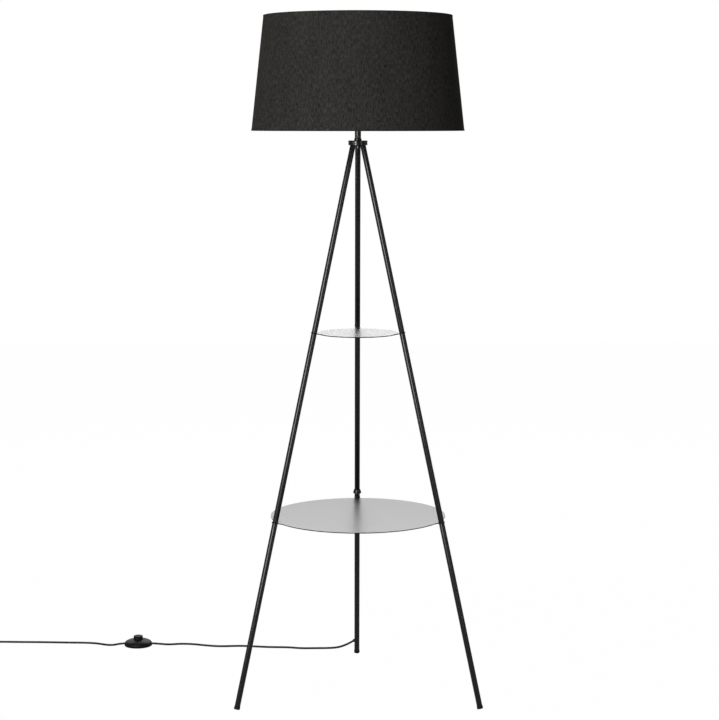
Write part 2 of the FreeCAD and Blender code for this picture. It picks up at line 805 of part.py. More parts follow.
def make_bulb():
    centre = S.bulb_length - S.bulb_globe_radius
    chord = S.bulb_globe_base - centre
    rim_value = math.sqrt(S.bulb_globe_radius.value ** 2 - chord.value ** 2)
    rim = Size(rim_value, f"sqrt({S.bulb_globe_radius.formula} ^ 2 - {chord.formula} ^ 2)")
    keep(turned(
        "bulb_globe",
        [(0, S.bulb_globe_base), (rim, S.bulb_globe_base),
         (0, S.bulb_length, 0, centre, 1)],
        z=bulb_height))
    neck, cap_top = S.bulb_neck_radius, S.bulb_cap_top
    skirt = cap_top + S.bulb_thread_pitch
    keep(turned(
        "bulb_housing",
        [(0, cap_top), (neck - S.bulb_eyelet_height, cap_top),
         (neck, cap_top + S.bulb_eyelet_height), (neck, skirt),
         (rim, S.bulb_globe_base - S.bulb_thread_pitch), (rim, S.bulb_globe_base),
         (0, S.bulb_globe_base)],
        z=bulb_height))
    foot = S.bulb_eyelet_height + S.running_gap
    root, crest, pitch = S.bulb_cap_root_radius, S.bulb_cap_radius, S.bulb_thread_pitch
    profile = [(0, foot), (S.bulb_eyelet_radius, foot), (root, foot + pitch)]
    rising, falling, ending = THREAD_RIDGE
    for ridge in range(1, THREAD_RIDGES + 1):
        base = foot + pitch * ridge
        profile += [(crest, base + rising * pitch), (crest, base + falling * pitch),
                    (root, base + ending * pitch)]
        if ridge < THREAD_RIDGES:
            profile.append((root, base + pitch))
    profile += [(crest, cap_top - S.bulb_cap_band), (crest, cap_top), (0, cap_top)]
    keep(turned("bulb_cap", profile, z=bulb_height))
    small = S.bulb_eyelet_radius
    bevel = S.bulb_eyelet_height / 2
    keep(turned(
        "bulb_eyelet",
        [(0, 0), (small - bevel, 0), (small, bevel), (small, S.bulb_eyelet_height),
         (0, S.bulb_eyelet_height)],
        z=bulb_height))


# ---- shade ----

def shade_radius(height):
    """The shade's outer radius at a height above its lower edge."""
    taper = (S.shade_bottom_diameter - S.shade_top_diameter) / 2 / S.shade_height
    return S.shade_bottom_diameter / 2 - taper * height


ring_rise = S.hem_lip_thickness + S.ring_wire / 2 + S.fit_gap


def ring_radius(height):
    return shade_radius(height) - S.shade_wall - S.ring_wire / 2 - S.ring_gap


def make_shade():
    wall, hem, proud = S.shade_wall, S.hem_height, S.hem_thickness
    lip, thin, tall = S.hem_lip, S.hem_lip_thickness, S.shade_height
    low, high = shade_radius(as_size(0)), shade_radius(tall)
    keep(turned(
        "shade_panel",
        [(low - wall - lip, 0), (low + proud, 0), (shade_radius(hem) + proud, hem),
         (shade_radius(hem), hem), (shade_radius(tall - hem), tall - hem),
         (shade_radius(tall - hem) + proud, tall - hem), (high + proud, tall),
         (high - wall - lip, tall), (high - wall - lip, tall - thin),
         (shade_radius(tall - thin) - wall, tall - thin),
         (shade_radius(thin) - wall, thin), (low - wall - lip, thin)],
        z=shade_base))
    for label, rise in (("shade_ring_bottom", ring_rise), ("shade_ring_top", tall - ring_rise)):
        ring = doc.addObject("Part::Torus", label)
        ring.Label = label
        bind(ring, "Radius1", ring_radius(rise))
        bind(ring, "Radius2", S.ring_wire / 2)
        keep(place(ring, z=shade_base + rise))


def make_spider():
    """The fitter washer with three wire arms that rest on the bottom ring."""
    spider = new_body("shade_spider")
    washer = new_sketch(spider, "XY_Plane", "washer")
    add_circle(washer, 0, 0, 2 * S.fitter_radius)
    add_circle(washer, 0, 0, 2 * (S.holder_radius + 4 * S.fit_gap))
    pad(spider, washer, S.fitter_thickness, name="fitter")
    wire = S.arm_wire / 2
    head = S.arm_weld_depth - wire
    start = S.clamp_ring_radius + 2 * wire
    foot = ring_rise + S.ring_wire / 2 + wire + S.fit_gap - S.shade_drop
    end = ring_radius(ring_rise) + S.ring_gap
    turn_in = start + S.arm_head_length
    turn_out = end - S.arm_foot_length
    fall = slope_angle(head - foot, turn_out - turn_in)
    radius = S.arm_bend_radius
    bend = radius * Size(math.tan(math.radians(fall.value / 2)), f"tan({fall.formula} / 2)")
    slant = (bend * cosine(fall), bend * sine(fall))
    spine = new_sketch(spider, "XZ_Plane", "spine")
    add_outline(spine, [
        (start, head), (turn_in - bend, head),
        (turn_in + slant[0], head - slant[1], turn_in - bend, head - radius, -1),
        (turn_out - slant[0], foot + slant[1]),
        (turn_out + bend, foot, turn_out + bend, foot + radius, 1), (end, foot)],
        closed=False)
    section = new_sketch(spider, "YZ_Plane", "section", base=(0, 0, start))
    add_circle(section, 0, head, S.arm_wire)
    arm = spider.newObject("PartDesign::AdditivePipe", "shade_spider_arm")
    arm.Profile = section
    arm.Spine = (spine, [])
    doc.recompute()
    three_times(spider, [arm])
    keep(place(spider, z=fitter_height, angle=90))


def make_clamp_rings():
    """The two threaded rings that hold the shade's fitter on the lampholder."""
    low = holder_split + S.fitter_thickness
    high = fitter_height + S.fitter_thickness
    bore = S.holder_radius + S.fit_gap
    rings = []
    for name, height in (("lower", low), ("upper", high)):
        rings.append(tube(f"clamp_ring_{name}", 2 * S.clamp_ring_radius, 2 * bore,
                          S.clamp_ring_height, z=height))
    group("shade_clamp_rings", rings)


# ---- tubes along paths ----

def rounded_wire(points, radius=None):
    """Straight runs joined by tangent arcs. Without a radius, each arc is as large as
    its two runs allow. Returns the wire and the arcs' radii."""
    points = [Vector(*point) for point in points]
    edges, radii = [], []
    here = points[0]
    for before, corner, after in zip(points, points[1:], points[2:]):
        arriving, leaving = corner - before, after - corner
        half_turn = arriving.getAngle(leaving) / 2
        shorter = min(arriving.Length, leaving.Length)
        size = radius or ARC_SHARE * shorter / math.tan(half_turn)
        inset = size * math.tan(half_turn)
        arriving.normalize()
        leaving.normalize()
        start, end = corner - arriving * inset, corner + leaving * inset
        inward = leaving - arriving
        inward.normalize()
        middle = corner + inward * (size / math.cos(half_turn) - size)
        edges.append(Part.LineSegment(here, start).toShape())
        edges.append(Part.Arc(start, middle, end).toShape())
        radii.append(size)
        here = end
    edges.append(Part.LineSegment(here, points[-1]).toShape())
    return Part.Wire(edges), radii


def swept(wire, diameter):
    """A round tube along a wire, checked against its section times its length."""
    start = wire.Edges[0]
    first = start.valueAt(start.FirstParameter)
    section = Part.Wire(Part.makeCircle(diameter / 2, first,
                                        start.tangentAt(start.FirstParameter)))
    solid = wire.makePipeShell([section], True, False)
    wanted = math.pi * diameter ** 2 / 4 * wire.Length
    if abs(solid.Volume / wanted - 1) > VOLUME_TOLERANCE:
        raise ValueError(f"tube volume {solid.Volume:.0f}, wanted {wanted:.0f}")
    return solid


def make_cord(label, points):
    diameter = S.cord_diameter.value
    wire, radii = rounded_wire(points)
    print(f"{label}: {wire.Length:.0f} mm, arc radii "
          + " ".join(f"{radius:.0f}" for radius in radii))
    shape_part(label, swept(wire, diameter))
    return wire.Length


def biarc(start, start_way, end, end_way):
    """Two arcs that join two points smoothly, along the given directions."""
    span = end - start
    both = start_way + end_way
    spread = 2 * (1 - start_way.dot(end_way))
    along = span.dot(both)
    reach = (math.sqrt(along ** 2 + spread * span.dot(span)) - along) / spread
    first, second = start + start_way * reach, end - end_way * reach
    joint = (first + second) * 0.5
    return [tangent_arc(start, start_way, joint), tangent_arc(end, -end_way, joint)]


def tangent_arc(start, way, end):
    span = end - start
    side = span - way * span.dot(way)
    if side.Length < 1e-7:
        return Part.LineSegment(start, end).toShape()
    half_angle = span.getAngle(way)
    radius = span.Length / (2 * math.sin(half_angle))
    side.normalize()
    centre = start + side * radius
    to_middle = (start + span * 0.5) - centre
    to_middle.normalize()
    sign = 1 if half_angle <= math.pi / 2 else -1
    return Part.Arc(start, centre + to_middle * radius * sign, end).toShape()


def turns_wire(place_at, turns, lead_in=0, lead_out=()):
    """Biarcs through the stations of a winding, with what leads in and out of it.
    place_at gives the point and the direction after a number of turns."""
    count = round(turns * STATIONS_PER_TURN)
    spots = [place_at(turns * station / count) for station in range(count + 1)]
    edges = []
    if lead_in:
        edges.append(Part.LineSegment(spots[0][0] - spots[0][1] * lead_in,
                                      spots[0][0]).toShape())
    for (point, way), (next_point, next_way) in zip(spots, spots[1:]):
        edges += biarc(point, way, next_point, next_way)
    return Part.Wire(Part.__sortEdges__(edges + list(lead_out)))


def least_gap(wire, diameter, step=1.0):
    """The least clear distance between a tube's turns."""
    count = max(int(wire.Length / step), 2)
    points = wire.discretize(Number=count)
    skip = int(SAME_STRETCH * diameter / step) + 1
    return min(((points[i] - points[j]).Length for i in range(0, count, 2)
                for j in range(i + skip, count)), default=0) - diameter


# ---- lead inside the lamp ----

exit_point = leg_point(LEG_AZIMUTHS["back"], S.cord_exit_height / lean_cosine)
exit_way = Vector(-cosine(S.cord_exit_drop).value, 0, -sine(S.cord_exit_drop).value)
bush_nose = exit_point + exit_way * S.bush_reach.value


def make_inner_lead():
    """The sheathed lead up the back leg, and its two cores to the lampholder."""
    sheath_end = leg_point(LEG_AZIMUTHS["back"], leg_end - S.plug_length - S.cord_diameter)
    route = [bush_nose, exit_point, sheath_end]
    wire, _ = rounded_wire(route, S.cord_elbow_radius.value)
    shape_part("lead_in_leg", swept(wire, S.cord_diameter.value))
    cross_height = (S.hub_underside_height + cavity_middle).value
    leg_axis = leg_point(LEG_AZIMUTHS["back"], as_size(cross_height) / lean_cosine)
    top = (holder_height + holder_ledge - S.fit_gap).value
    cores = []
    for side in (-1, 1):
        shift = Vector(side * S.core_offset.value, 0, 0)
        route = [sheath_end + shift, leg_axis + shift,
                 Vector(0, 0, cross_height) + shift, Vector(0, 0, top) + shift]
        wire, _ = rounded_wire(route, S.core_diameter.value)
        cores.append(swept(wire, S.core_diameter.value))
    shape_part("lead_cores", Part.makeCompound(cores))


def make_bush():
    """The bush in the leg's wall, lying along the lead."""
    bore = S.cord_diameter / 2 + S.fit_gap
    sleeve, bevel = S.bush_diameter / 2, S.bush_bevel
    start = S.tube_diameter / 2 - S.tube_wall
    nose = S.bush_reach
    keep(turned(
        "lead_bush",
        [(bore, start), (sleeve, start), (sleeve, nose - bevel), (sleeve - bevel, nose),
         (bore, nose)],
        **lead_exit()))


# ---- free lead, coil and plug ----

coil_lift = S.tie_thickness + S.tie_gap
coil_low = coil_lift + S.cord_diameter / 2
spiral_depth = S.coil_turns_each_way * S.coil_pitch
coil_outer = S.coil_mean_radius + spiral_depth / 2
coil_inner = S.coil_mean_radius - spiral_depth / 2
START_ANGLE = -90.0


def coil_spot(turns):
    """Centre and direction of the coiled lead after a number of turns, clockwise."""
    past_reverse = turns - S.coil_turns_each_way.value
    radius = coil_inner.value + S.coil_pitch.value * abs(past_reverse)
    climb = min(max(past_reverse / S.coil_climb_turns.value + 0.5, 0), 1)
    ease = climb * climb * (3 - 2 * climb)
    angle = math.radians(START_ANGLE - 360 * turns)
    return Vector(COIL_CENTRE[0] + radius * math.cos(angle),
                  COIL_CENTRE[1] + radius * math.sin(angle),
                  coil_low.value + S.coil_layer_rise.value * ease)


def coil_station(turns):
    total = 2 * S.coil_turns_each_way.value
    small = 1e-4
    way = coil_spot(turns + small) - coil_spot(turns - small)
    if turns in (0, total):
        way = Vector(-1, 0, 0)
    way.normalize()
    return coil_spot(turns), way


def make_coil():
    diameter = S.cord_diameter.value
    total = 2 * S.coil_turns_each_way.value
    leave = coil_spot(total)
    level = Vector(-1, 0, 0)
    drop_start = leave + level * diameter
    drop_end = Vector(drop_start.x - TAIL_DROP_RUN, leave.y, S.plug_height.value / 2)
    plug_end = drop_end + level * diameter
    tail = [Part.LineSegment(leave, drop_start).toShape()]
    tail += biarc_drop(drop_start, drop_end)
    tail.append(Part.LineSegment(drop_end, plug_end).toShape())
    wire = turns_wire(coil_station, total, diameter, tail)
    print(f"cord_coil: {wire.Length:.0f} mm, least gap to itself "
          f"{least_gap(wire, diameter):.2f} mm")
    shape_part("cord_coil", swept(wire, diameter))
    return wire.Length, plug_end


def biarc_drop(start, end):
    """A level tail that comes down gently and is level again."""
    middle = (start + end) * 0.5
    level = Vector(-1, 0, 0)
    return [tangent_arc(start, level, middle), tangent_arc(end, -level, middle)]


def make_tie():
    """The strap round the coil on the far side from its ends."""
    far_side = 0.5
    rows = [(coil_spot(far_side + whole) - Vector(*COIL_CENTRE, coil_low.value)).Length
            for whole in range(int(S.coil_turns_each_way.value))]
    margin = S.cord_diameter.value / 2 + S.tie_gap.value
    bow = math.hypot(min(rows), S.tie_width.value / 2) - min(rows)
    near = as_size(COIL_CENTRE[1] + min(rows) - margin - bow)
    far = as_size(COIL_CENTRE[1] + max(rows) + margin)
    low = S.tie_thickness
    high = coil_low + S.coil_layer_rise + S.cord_diameter / 2 + S.tie_gap
    tie = new_body("coil_tie")
    ring = new_sketch(tie, "YZ_Plane", "loop")
    thick, corner = S.tie_thickness, S.cord_diameter / 2
    for grow, size in ((thick, corner + thick), (as_size(0), corner)):
        left, right = near - grow, far + grow
        bottom, top = low - grow, high + grow
        add_outline(ring, [
            (right - size, bottom), (right, bottom + size, right - size, bottom + size, 1),
            (right, top - size), (right - size, top, right - size, top - size, 1),
            (left + size, top), (left, top - size, left + size, top - size, 1),
            (left, bottom + size), (left + size, bottom, left + size, bottom + size, 1)])
    pad(tie, ring, S.tie_width, both_ways=True)
    keep(place(tie, x=COIL_CENTRE[0]))


def make_plug(entry):
    """A flat two-pin plug with a moulded relief, lying on the floor."""
    plug = new_body("plug_body")
    stages = [
        (S.plug_relief_length, S.plug_back_width, S.plug_back_height, S.plug_back_corner),
        (S.plug_relief_length + S.plug_shoulder, S.plug_mid_width, S.plug_height,
         S.plug_corner),
        (S.plug_relief_length + S.plug_body_length, S.plug_face_width, S.plug_height,
         S.plug_corner),
    ]
    sections = []
    for number, (distance, width, tall, corner) in enumerate(stages):
        section = new_sketch(plug, "YZ_Plane", f"section{number}", base=(0, 0, distance))
        w, t, c = width / 2, tall / 2, corner
        add_outline(section, [(w - c, -t), (w, c - t), (w, t - c), (w - c, t),
                              (c - w, t), (-w, t - c), (-w, c - t), (c - w, -t)])
        sections.append(section)
    loft = plug.newObject("PartDesign::AdditiveLoft", "plug_body_shell")
    loft.Profile = sections[0]
    loft.Sections = sections[1:]
    loft.Ruled = True
    doc.recompute()
    relief = new_sketch(plug, "XY_Plane", "relief")
    wide, slim, length = S.plug_relief_radius, S.plug_relief_tip_radius, S.plug_relief_length
    add_outline(relief, [(0, 0), (length + wide, 0), (length + wide, wide), (length, wide),
                         (0, slim)])
    cone = plug.newObject("PartDesign::Revolution", "plug_body_relief")
    cone.Profile = relief
    cone.ReferenceAxis = (relief, ["H_Axis"])
    cone.Angle = 360
    keep(place(plug, x=entry.x, y=entry.y, z=S.plug_height / 2, angle=180))
    make_pins(entry)


def make_pins(entry):
    radius, tip = S.pin_diameter / 2, S.pin_tip_round
    face = entry.x - (S.plug_relief_length + S.plug_body_length)
    pins = []
    for name, side in (("near", -0.5), ("far", 0.5)):
        pins.append(turned(
            f"plug_pin_{name}",
            [(0, 0), (radius, 0), (radius, S.pin_length - tip),
             (radius - tip, S.pin_length, radius - tip, S.pin_length - tip, 1),
             (0, S.pin_length)],
            x=face, y=entry.y + side * S.pin_spacing, z=S.plug_height / 2,
            axis=(0, -1, 0), angle=90))
    group("plug_pins", pins)


# ---- foot switch ----

plate_top = S.switch_bottom + S.switch_plate_thickness
block_top = plate_top + S.block_height
hole_radius = S.button_diameter / 2 + S.running_gap


def place_switch(thing, z=0, angle=0):
    return place(thing, x=SWITCH_CENTRE[0], y=SWITCH_CENTRE[1], z=z, angle=angle)


def make_switch_housing():
    """The domed cover: a rounded rim that runs into a large flat arc."""
    housing = new_body("switch_housing")
    rim, turn = S.switch_rim_round, S.switch_rim_turn
    rim_x = S.switch_radius - rim
    join_x = rim_x + rim * cosine(turn)
    join_z = S.switch_rim_height + rim * sine(turn)
    run, rise = join_x - hole_radius, S.switch_top - join_z
    crown = ((run * run + rise * rise) / 2) / (run * cosine(turn) - rise * sine(turn))
    crown_x = join_x - crown * cosine(turn)
    crown_z = join_z - crown * sine(turn)
    inner = S.switch_radius - S.switch_wall
    roof = S.switch_top - S.switch_wall
    revolve(housing, [
        (inner, S.switch_bottom), (S.switch_radius, S.switch_bottom),
        (S.switch_radius, S.switch_rim_height),
        (join_x, join_z, rim_x, S.switch_rim_height, 1),
        (hole_radius, S.switch_top, crown_x, crown_z, 1), (hole_radius, roof),
        (S.post_circle_radius, roof - S.switch_roof_fall),
        (join_x - S.switch_shoulder_inset, join_z - S.switch_shoulder_drop),
        (inner, S.switch_rim_height)])
    ports = new_sketch(housing, "XZ_Plane", "ports")
    add_circle(ports, 0, S.switch_port_height, S.cord_diameter + 4 * S.fit_gap)
    pocket(housing, ports, name="lead_ports")
    posts = new_sketch(housing, "XY_Plane", "post", base=(0, 0, plate_top))
    add_circle(posts, S.post_circle_radius, 0, S.post_diameter)
    post = pad(housing, posts, roof - plate_top, name="post_pad")
    holes = new_sketch(housing, "XY_Plane", "post_hole", base=(0, 0, plate_top))
    add_circle(holes, S.post_circle_radius, 0, S.screw_diameter + 2 * S.fit_gap)
    hole = pocket(housing, holes, S.screw_length, name="post_bore", upwards=True)
    doc.recompute()
    three_times(housing, [post, hole])
    keep(place_switch(housing, angle=90))


def make_switch_plate():
    plate = new_body("switch_plate")
    disc = new_sketch(plate, "XY_Plane", "disc")
    add_circle(disc, 0, 0, 2 * (S.switch_radius - S.switch_wall - S.running_gap))
    pad(plate, disc, S.switch_plate_thickness, name="plate")
    holes = new_sketch(plate, "XY_Plane", "screw_hole")
    add_circle(holes, S.post_circle_radius, 0, S.screw_diameter + 4 * S.fit_gap)
    hole = pocket(plate, holes, name="screw_way")
    doc.recompute()
    three_times(plate, [hole])
    keep(place_switch(plate, z=S.switch_bottom, angle=90))


def round_the_switch(label, corners, first_azimuth, height):
    """Three small turned pieces on the posts' circle."""
    pieces = []
    for number in range(3):
        azimuth = math.radians(first_azimuth + 120 * number)
        pieces.append(turned(
            f"{label}_{number + 1}", corners,
            x=SWITCH_CENTRE[0] + S.post_circle_radius * round(math.cos(azimuth), 9),
            y=SWITCH_CENTRE[1] + S.post_circle_radius * round(math.sin(azimuth), 9),
            z=height))
    group(label, pieces)


def make_switch_fixings():
    head, shank = S.screw_head_diameter / 2, S.screw_diameter / 2
    tall = S.screw_head_height
    round_the_switch("switch_screws", [
        (0, -tall), (head - tall / 2, -tall), (head, -tall / 2), (head, 0), (shank, 0),
        (shank, S.screw_length), (0, S.screw_length)], 90, S.switch_bottom)
    pad_radius = S.pad_diameter / 2
    bevel = S.switch_bottom / 3
    round_the_switch("switch_pads", [
        (0, 0), (pad_radius - bevel, 0), (pad_radius, bevel), (pad_radius, S.switch_bottom),
        (0, S.switch_bottom)], 30, as_size(0))


def make_switch_button():
    """The push button, held by its flange, with the spring's bore and a plunger."""
    radius = S.button_diameter / 2
    flange = radius + S.button_flange
    roof = S.switch_top - S.switch_wall
    flange_top = roof - 2 * S.running_gap
    bottom = flange_top - S.button_flange_height
    ceiling = S.switch_top + S.switch_wall
    soft = S.button_round
    plunger_end = bottom - S.running_gap
    button = turned("switch_button", [
        (0, plunger_end), (S.plunger_radius, plunger_end), (S.plunger_radius, ceiling),
        (S.spring_bore_radius, ceiling), (S.spring_bore_radius, bottom), (flange, bottom),
        (flange, flange_top), (radius, flange_top), (radius, S.button_top - soft),
        (radius - soft, S.button_top, radius - soft, S.button_top - soft, 1),
        (0, S.button_top)])
    keep(place_switch(button))
    return ceiling


def make_switch_spring(ceiling):
    """The return spring between the contact block and the button."""
    wire_size = S.spring_wire.value
    low = block_top.value + wire_size / 2
    high = (ceiling - S.running_gap).value - wire_size / 2
    turns, radius = S.spring_turns.value, S.spring_mean_radius.value

    def spot(turn):
        angle = 2 * math.pi * turn
        rise = (high - low) / turns
        point = Vector(SWITCH_CENTRE[0] + radius * math.cos(angle),
                       SWITCH_CENTRE[1] + radius * math.sin(angle), low + rise * turn)
        way = Vector(-radius * math.sin(angle), radius * math.cos(angle), rise / (2 * math.pi))
        way.normalize()
        return point, way

    wire = turns_wire(spot, turns)
    print(f"switch_spring: least gap to itself {least_gap(wire, wire_size, 0.4):.2f} mm")
    shape_part("switch_spring", swept(wire, wire_size))


def make_switch_block():
    """The contact block on the plate and its two terminal strips."""
    block = doc.addObject("Part::Box", "switch_block")
    block.Label = "switch_block"
    bind(block, "Length", S.block_length)
    bind(block, "Width", S.block_width)
    bind(block, "Height", S.block_height)
    keep(place(block, x=SWITCH_CENTRE[0] - S.block_length / 2,
               y=SWITCH_CENTRE[1] - S.block_width / 2, z=plate_top))
    strips = []
    for name, side in (("left", -1), ("right", 1)):
        strip = doc.addObject("Part::Box", f"terminal_{name}")
        bind(strip, "Length", S.terminal_length)
        bind(strip, "Width", S.terminal_width)
        bind(strip, "Height", S.terminal_thickness)
        inner = side * (S.block_length / 2 - S.terminal_length / 2 - S.fit_gap)
        strips.append(place(strip, x=SWITCH_CENTRE[0] + inner - S.terminal_length / 2,
                            y=SWITCH_CENTRE[1] - S.terminal_width / 2, z=block_top))
    group("switch_contacts", strips)


# ---- the whole lamp ----

def make_free_lead():
    """The lead on the floor: to the switch, to the coil, and through the coil."""
    switch_end = (SWITCH_CENTRE[0] + SWITCH_CORD_END, SWITCH_CENTRE[1],
                  S.switch_port_height.value)
    switch_start = (SWITCH_CENTRE[0] - SWITCH_CORD_END, SWITCH_CENTRE[1],
                    S.switch_port_height.value)
    coil_start = coil_spot(0) + Vector(S.cord_diameter.value, 0, 0)
    first = make_cord("cord_leg_to_switch",
                      [tuple(bush_nose), tuple(bush_nose + exit_way * S.first_run.value)]
                      + ROUTE_LEG_TO_SWITCH + [switch_end])
    second = make_cord("cord_switch_to_coil",
                       [switch_start] + ROUTE_SWITCH_TO_COIL + [tuple(coil_start)])
    third, entry = make_coil()
    print(f"whole free lead: {first + second + third:.0f} mm")
    make_tie()
    make_plug(entry)


def check_and_write():
    doc.recompute()
    for thing in doc.Objects:
        if "Invalid" in thing.State or "Error" in thing.State:
            raise RuntimeError(f"{thing.Name} failed: {thing.State}")
    os.makedirs("parts", exist_ok=True)
    for thing in nodes:
        shape = thing.Shape
        if shape.isNull() or not shape.isValid() or not shape.Solids:
            raise RuntimeError(f"{thing.Label} has no valid solid")
        shape.exportStep(f"parts/{thing.Label}.step")
    print(f"{len(nodes)} sub-parts written")


make_legs()
make_foot_caps()
make_joint("lower", lower_joint, S.stud_reach)
make_joint("upper", upper_joint, S.stud_reach)
make_hub_studs()
make_shelf("shelf_lower", S.lower_shelf_diameter, S.lower_shelf_height, lower_ear_reach)
make_shelf("shelf_upper", S.upper_shelf_diameter, S.upper_shelf_height, upper_ear_reach)
make_back_collar()
make_hub()
make_stem()
make_lampholder()
make_bulb()
make_shade()
make_spider()
make_clamp_rings()
make_bush()
make_inner_lead()
make_free_lead()
make_switch_housing()
make_switch_plate()
make_switch_fixings()
make_switch_spring(make_switch_button())
make_switch_block()
check_and_write()
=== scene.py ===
import math
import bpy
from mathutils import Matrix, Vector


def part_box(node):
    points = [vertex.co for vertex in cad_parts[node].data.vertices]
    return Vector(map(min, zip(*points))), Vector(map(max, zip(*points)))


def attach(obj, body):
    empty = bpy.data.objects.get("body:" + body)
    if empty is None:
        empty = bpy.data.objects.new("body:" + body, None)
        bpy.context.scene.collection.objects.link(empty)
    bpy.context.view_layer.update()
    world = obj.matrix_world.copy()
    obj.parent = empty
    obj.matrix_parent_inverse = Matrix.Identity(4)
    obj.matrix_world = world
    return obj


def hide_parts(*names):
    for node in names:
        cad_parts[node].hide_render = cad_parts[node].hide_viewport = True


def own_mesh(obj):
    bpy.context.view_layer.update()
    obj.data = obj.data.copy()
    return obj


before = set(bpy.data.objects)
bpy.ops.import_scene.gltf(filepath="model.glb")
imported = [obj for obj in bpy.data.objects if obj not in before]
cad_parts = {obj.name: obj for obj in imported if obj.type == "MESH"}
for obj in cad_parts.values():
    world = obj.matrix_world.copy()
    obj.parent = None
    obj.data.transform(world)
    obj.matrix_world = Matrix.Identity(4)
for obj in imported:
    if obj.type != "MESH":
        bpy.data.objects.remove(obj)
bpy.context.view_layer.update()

from types import SimpleNamespace as Values

import bmesh
import bpy
from mathutils import Matrix, Vector

scene = bpy.context.scene
mm = 0.001
fullTurn = 2 * math.pi


def toLinear(hexColour):
    parts = [int(hexColour[i:i + 2], 16) / 255 for i in (1, 3, 5)]
    parts = [c / 12.92 if c <= 0.04045 else ((c + 0.055) / 1.055) ** 2.4 for c in parts]
    return (*parts, 1)


def setAll(thing, **settings):
    for name, value in settings.items():
        setattr(thing, name, value)
    return thing


def emptyTree(owner):  # of a material or the world
    owner.use_nodes = True
    owner.node_tree.nodes.clear()
    return owner.node_tree


def addNode(tree, kind, inputs=None, **settings):  # inputs hold values, sockets or nodes
    node = setAll(tree.nodes.new(kind), **settings)
    for key, value in (inputs or {}).items():
        if isinstance(value, bpy.types.Node):
            value = value.outputs[0]
        if isinstance(value, bpy.types.NodeSocket):
            tree.links.new(value, node.inputs[key])
        else:
            node.inputs[key].default_value = value
    return node


# Materials, each named for the real one and how it was made.

noiseReach = (0.3, 0.7)  # nearly all of a noise pattern lies between these


def addSurface(tree, look, tone, relief, bump, spread=None, **more):
    # Colour and roughness drift with the tone, and the relief is felt in the light.
    colour = addNode(tree, "ShaderNodeMix", {
        0: tone, 6: toLinear(look.dark), 7: toLinear(look.light)}, data_type="RGBA")
    rough = look.roughness
    if spread:
        rough = addNode(tree, "ShaderNodeMapRange", {
            "Value": tone, "From Min": noiseReach[0], "From Max": noiseReach[1],
            "To Min": rough - spread[0], "To Max": rough + spread[1]})
    lift = addNode(tree, "ShaderNodeBump", {
        "Height": relief, "Strength": bump, "Distance": look.depthMm * mm})
    inputs = {key.replace("_", " "): value for key, value in more.items()}
    surface = addNode(tree, "ShaderNodeBsdfPrincipled", {
        "Base Color": colour.outputs[2], "Roughness": rough, "Normal": lift, **inputs})
    addNode(tree, "ShaderNodeOutputMaterial", {"Surface": surface})


usual = dict(spread=0.08, gloss=0.5, coat=0, coatRoughness=0.1)  # unless its own says so


def grainedMaterial(name, look):
    # An even colour that drifts a little, with fine grain: moulded or coated things.
    look = Values(**{**usual, **look})
    material = bpy.data.materials.new(name)
    tree = emptyTree(material)
    place = addNode(tree, "ShaderNodeTexCoord").outputs["Object"]
    grain = addNode(tree, "ShaderNodeTexNoise", {
        "Vector": place, "Scale": 1 / (look.grainMm * mm), "Detail": 2.0})
    drift = addNode(tree, "ShaderNodeTexNoise", {
        "Vector": place, "Scale": 1 / (look.driftMm * mm), "Detail": 4.0, "Roughness": 0.65})
    addSurface(tree, look, drift, grain, look.bump, (look.spread, look.spread),
               Coat_Weight=look.coat, Coat_Roughness=look.coatRoughness,
               Specular_IOR_Level=look.gloss)
    return material


satinPowderCoat = grainedMaterial("satinPowderCoatBaked", dict(  # soft long streaks
    dark="#0c0c0c", light="#141414", grainMm=0.7, driftMm=40, depthMm=0.02, bump=0.1,
    roughness=0.22, spread=0.02, gloss=0.28, coat=0.3, coatRoughness=0.3))
satinShelfLacquer = grainedMaterial("satinShelfLacquerBaked", dict(  # blurred mirror
    dark="#191919", light="#1f1e1e", grainMm=0.9, driftMm=90, depthMm=0.01, bump=0.1,
    roughness=0.31, spread=0.02, coat=1.0, coatRoughness=0.28))
shelfRimLacquerPaintedShade = grainedMaterial("shelfEdgeLacquerPaintedShade", dict(  # rougher thin coat; its darker colour is painted shade on the rim
    dark="#050505", light="#0b0b0b", grainMm=0.5, driftMm=25, depthMm=0.03, bump=0.3,
    roughness=0.55, spread=0.05, gloss=0.12))
hubEnamel = grainedMaterial("hubEnamelSprayed", dict(  # tight, brighter streaks
    dark="#080808", light="#0f0f0f", grainMm=0.5, driftMm=15, depthMm=0.01, bump=0.1,
    roughness=0.16, spread=0.03, gloss=0.4, coat=0.3, coatRoughness=0.3))
footRubber = grainedMaterial("footRubberMoulded", dict(  # dull, no highlight
    dark="#0b0b0b", light="#131313", grainMm=0.25, driftMm=8, depthMm=0.03, bump=0.5,
    roughness=0.72, gloss=0.25))
coatedWire = grainedMaterial("coatedWireDipped", dict(  # slightly uneven film
    dark="#0c0c0c", light="#151515", grainMm=0.4, driftMm=12, depthMm=0.02, bump=0.3,
    roughness=0.42, gloss=0.35))
phenolic = grainedMaterial("phenolicPressed", dict(  # deep black, glossy
    dark="#0a0a0a", light="#121110", grainMm=0.3, driftMm=9, depthMm=0.01, bump=0.25,
    roughness=0.24))
insulatingPlastic = grainedMaterial("insulatingPlasticMoulded", dict(  # chalky
    dark="#d8d3c6", light="#e6e2d8", grainMm=0.2, driftMm=6, depthMm=0.02, bump=0.4,
    roughness=0.6))
cordSheath = grainedMaterial("softPvcSheathExtruded", dict(  # waxy, semi-matt
    dark="#0e0e0e", light="#171717", grainMm=0.35, driftMm=14, depthMm=0.02, bump=0.3,
    roughness=0.46, gloss=0.3))
absMoulded = grainedMaterial("absMouldedSpark", dict(  # fine spark-eroded grain
    dark="#0c0c0d", light="#151516", grainMm=0.3, driftMm=18, depthMm=0.015, bump=0.25,
    roughness=0.45, gloss=0.15))
